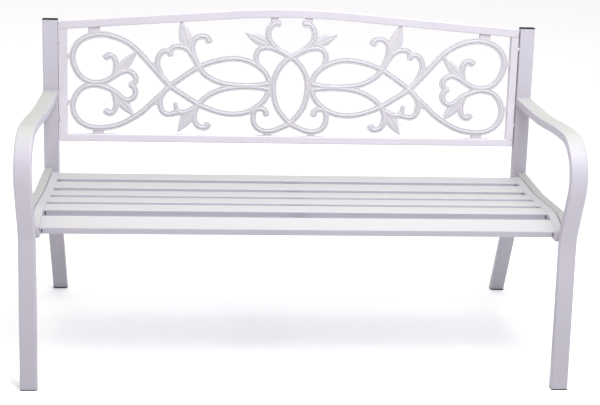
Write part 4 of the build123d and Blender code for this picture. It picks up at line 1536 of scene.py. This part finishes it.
# ---- fasteners and plain nodes -----------------------------------------------
@dataclass
class Fasteners:
    """Bolts with domed, socketed heads."""

    lines: BenchLines
    finishes: Finishes
    head: float = 0.012
    tall: float = 0.0036
    washer: float = 0.0012
    shank: float = 0.006
    socket: float = 0.004
    past_wall: float = 0.0085
    seat_y: tuple[float, float] = (0.116, -0.215)

    def bolt(self, face_x: float, tip_x: float, at: tuple[float, float]) -> Surface:
        """One bolt, turned: shank, underside, dome and hexagon socket.

        The dome is h = tall sqrt(1 - (r / R)^2) from the rim to the socket's edge.

        Args:
            face_x: X of the washer's outer face.
            tip_x: X of the shank's end.
            at: side-view point of the bolt's axis.

        Returns:
            The closed bolt.
        """
        rim = self.head / 2
        shank, tip, bevel = self.shank / 2, tip_x - face_x, 0.0008
        rings = [(shank - bevel, tip, False), (shank, tip + bevel, False), (shank, -0.0001, False),
                 (rim - 0.0003, 0.0, False), (rim, 0.0003, False)]
        lip = 0.0006
        for angle in np.radians([15, 30, 45, 57]):
            height = lip + (self.tall - lip) * math.sin(angle) / math.sin(1.0)
            rings.append((rim * math.cos(angle), height, False))
        across = self.socket / 2
        top = self.tall
        rings += [(across + 0.0004, top, False), (across, top - 0.0002, True), (across, top - 0.0022, True),
                  (across * 0.4, top - 0.0026, True)]
        return turned(np.array([face_x, *at]), X_AXIS, rings)

    def build(self) -> None:
        """Makes the bolts."""
        lines = self.lines
        half = lines.rail_tall / 2
        inner = lines.panel_rail_x + lines.panel_rail_wide / 2
        outer = lines.half_width - lines.rail_inset
        inside = lines.post_inner + lines.wall
        seat = [self.bolt(outer + self.washer, inner - self.past_wall, (y, lines.seat_z(y) - half))
                for y in self.seat_y]
        back = []
        for up in lines.back_bolt_up:
            at = lines.back_bolt_point(up)
            back.append(self.bolt(inside + self.washer, lines.panel_end - self.past_wall, (at[1], at[2])))
        for name, bolts in (("seat_bolts", seat), ("back_bolts", back)):
            both = joined(bolts + [bolt.mirrored() for bolt in bolts])
            make_piece(name + "_turned", both, self.finishes.zinc, [name], sharp=32.0)


def dress_packed_nodes(finishes: Finishes) -> None:
    """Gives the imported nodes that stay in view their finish.

    Args:
        finishes: the bench's materials.
    """
    by_slot = {Slot.WHITE.value: finishes.tube_coat, Slot.BLACK.value: finishes.plastic,
               Slot.ZINC.value: finishes.zinc}
    slot_of = {part["node"]: part["material_slot"] for part in frame["record"]["subparts"]}
    for name, node in frame["nodes"].items():
        if node.hide_render:
            continue
        node.data.materials.clear()
        node.data.materials.append(by_slot[slot_of[name]])
        LOG.info("%s: packed node keeps its shape, finish %s", name, by_slot[slot_of[name]].name)


# ---- studio ------------------------------------------------------------------
@dataclass(frozen=True)
class SoftLight:
    """A square soft light.

    Args:
        name: its name.
        at: where it hangs.
        aim: the point it faces.
        size: its side length.
        power: its power in watts.
        colour: its colour.
    """

    name: str
    at: tuple[float, float, float]
    aim: tuple[float, float, float]
    size: float
    power: float
    colour: tuple[float, float, float]

    def build(self) -> None:
        """Hangs the light."""
        data = bpy.data.lights.new(self.name, "AREA")
        data.size = self.size
        data.energy = self.power
        data.color = self.colour
        made = into_scene(self.name, data)
        turn = (Vector(self.aim) - Vector(self.at)).to_track_quat("-Z", "Y").to_matrix().to_4x4()
        made.matrix_world = Matrix.Translation(Vector(self.at)) @ turn


@dataclass
class Studio:
    """Plain pale floor, soft lights and the camera."""

    eye: tuple[float, float, float] = (-0.2369, -2.8864, 1.3066)
    yaw: float = 3.973
    pitch: float = 16.177
    roll: float = 1.758
    lens: float = 70.58
    shift: tuple[float, float] = (0.0333, -0.0625)
    sky_low: float = 0.05
    sky_high: float = 1.44
    sky_colour: tuple[float, float, float] = (1.0, 0.985, 1.0)
    rim: float = 0.93
    rim_fade: tuple[float, float] = (0.04, 0.09)
    floor_colour: tuple[float, float, float] = (0.95, 0.95, 0.95)
    floor_reach: float = 40.0
    lights: tuple[SoftLight, ...] = (
        SoftLight("overhead", (0.0, 0.3, 3.4), (0.0, 0.1, 0.4), 2.6, 31.0, (1.0, 0.99, 0.96)),
        SoftLight("high_front", (0.5, -1.05, 2.7), (0.0, 0.15, 0.6), 1.2, 57.0, (0.99, 0.98, 1.0)),
    )

    def camera(self) -> None:
        """Places the camera: its forward, right and up vectors follow from yaw, pitch and roll."""
        yaw, pitch, roll = (math.radians(a) for a in (self.yaw, self.pitch, self.roll))
        forward = Vector((math.sin(yaw) * math.cos(pitch), math.cos(yaw) * math.cos(pitch), -math.sin(pitch)))
        level = Vector((math.cos(yaw), -math.sin(yaw), 0.0))
        up = level.cross(forward)
        right = level * math.cos(roll) + up * math.sin(roll)
        top = up * math.cos(roll) - level * math.sin(roll)
        data = bpy.data.cameras.new("camera")
        data.lens = self.lens
        data.sensor_width = 36.0
        data.sensor_fit = "HORIZONTAL"
        data.shift_x, data.shift_y = self.shift
        data.clip_end = 200.0
        made = into_scene("camera", data)
        turn = Matrix((right, top, -forward)).transposed().to_4x4()
        made.matrix_world = Matrix.Translation(Vector(self.eye)) @ turn
        bpy.context.scene.camera = made

    def floor(self) -> None:
        """A wide pale floor."""
        make, shader = new_material("pale_floor")
        make.feed_all(shader, Base_Color=self.floor_colour, Roughness=0.9, Specular_IOR_Level=0.1)
        mesh = bpy.data.meshes.new("floor")
        r = self.floor_reach
        mesh.from_pydata([(-r, -r, 0), (r, -r, 0), (r, r, 0), (-r, r, 0)], [], [(0, 1, 2, 3)])
        mesh.materials.append(make.owner)
        into_scene("floor", mesh)

    def sky(self) -> None:
        """Soft light from above, low + (high - low) * up, with a narrow pale band along the horizon."""
        world = bpy.data.worlds.new("studio")
        bpy.context.scene.world = world
        world.use_nodes = True
        make = NodeMaker(world)
        where = make.node("ShaderNodeTexCoord").outputs["Generated"]
        up = make.node("ShaderNodeSeparateXYZ", Vector=where).outputs["Z"]
        ramp = make.spread(up, 0.0, 1.0, self.sky_low, self.sky_high)
        rim = make.spread(up, *self.rim_fade, self.rim, 0.0)
        strength = make.math("MAXIMUM", ramp, rim)
        make.feed_all(make.tree.nodes["Background"], Color=self.sky_colour, Strength=strength)

    def build(self) -> None:
        """Sets up the studio."""
        self.camera()
        self.floor()
        self.sky()
        for light in self.lights:
            light.build()
        view = bpy.context.scene.view_settings
        view.view_transform = "Standard"
        view.look = "None"


def main() -> None:
    logging.basicConfig(level=logging.INFO, format="%(name)s %(message)s")
    lines = BenchLines()
    finishes = Finishes()
    SideFrames(lines, finishes).build()
    SeatPanel(lines, finishes).build()
    panel = BackPanel(lines, finishes)
    panel.build()
    ScrollCasting(panel).build()
    Fasteners(lines, finishes).build()
    dress_packed_nodes(finishes)
    Studio().build()


if __name__ == "__main__":
    main()
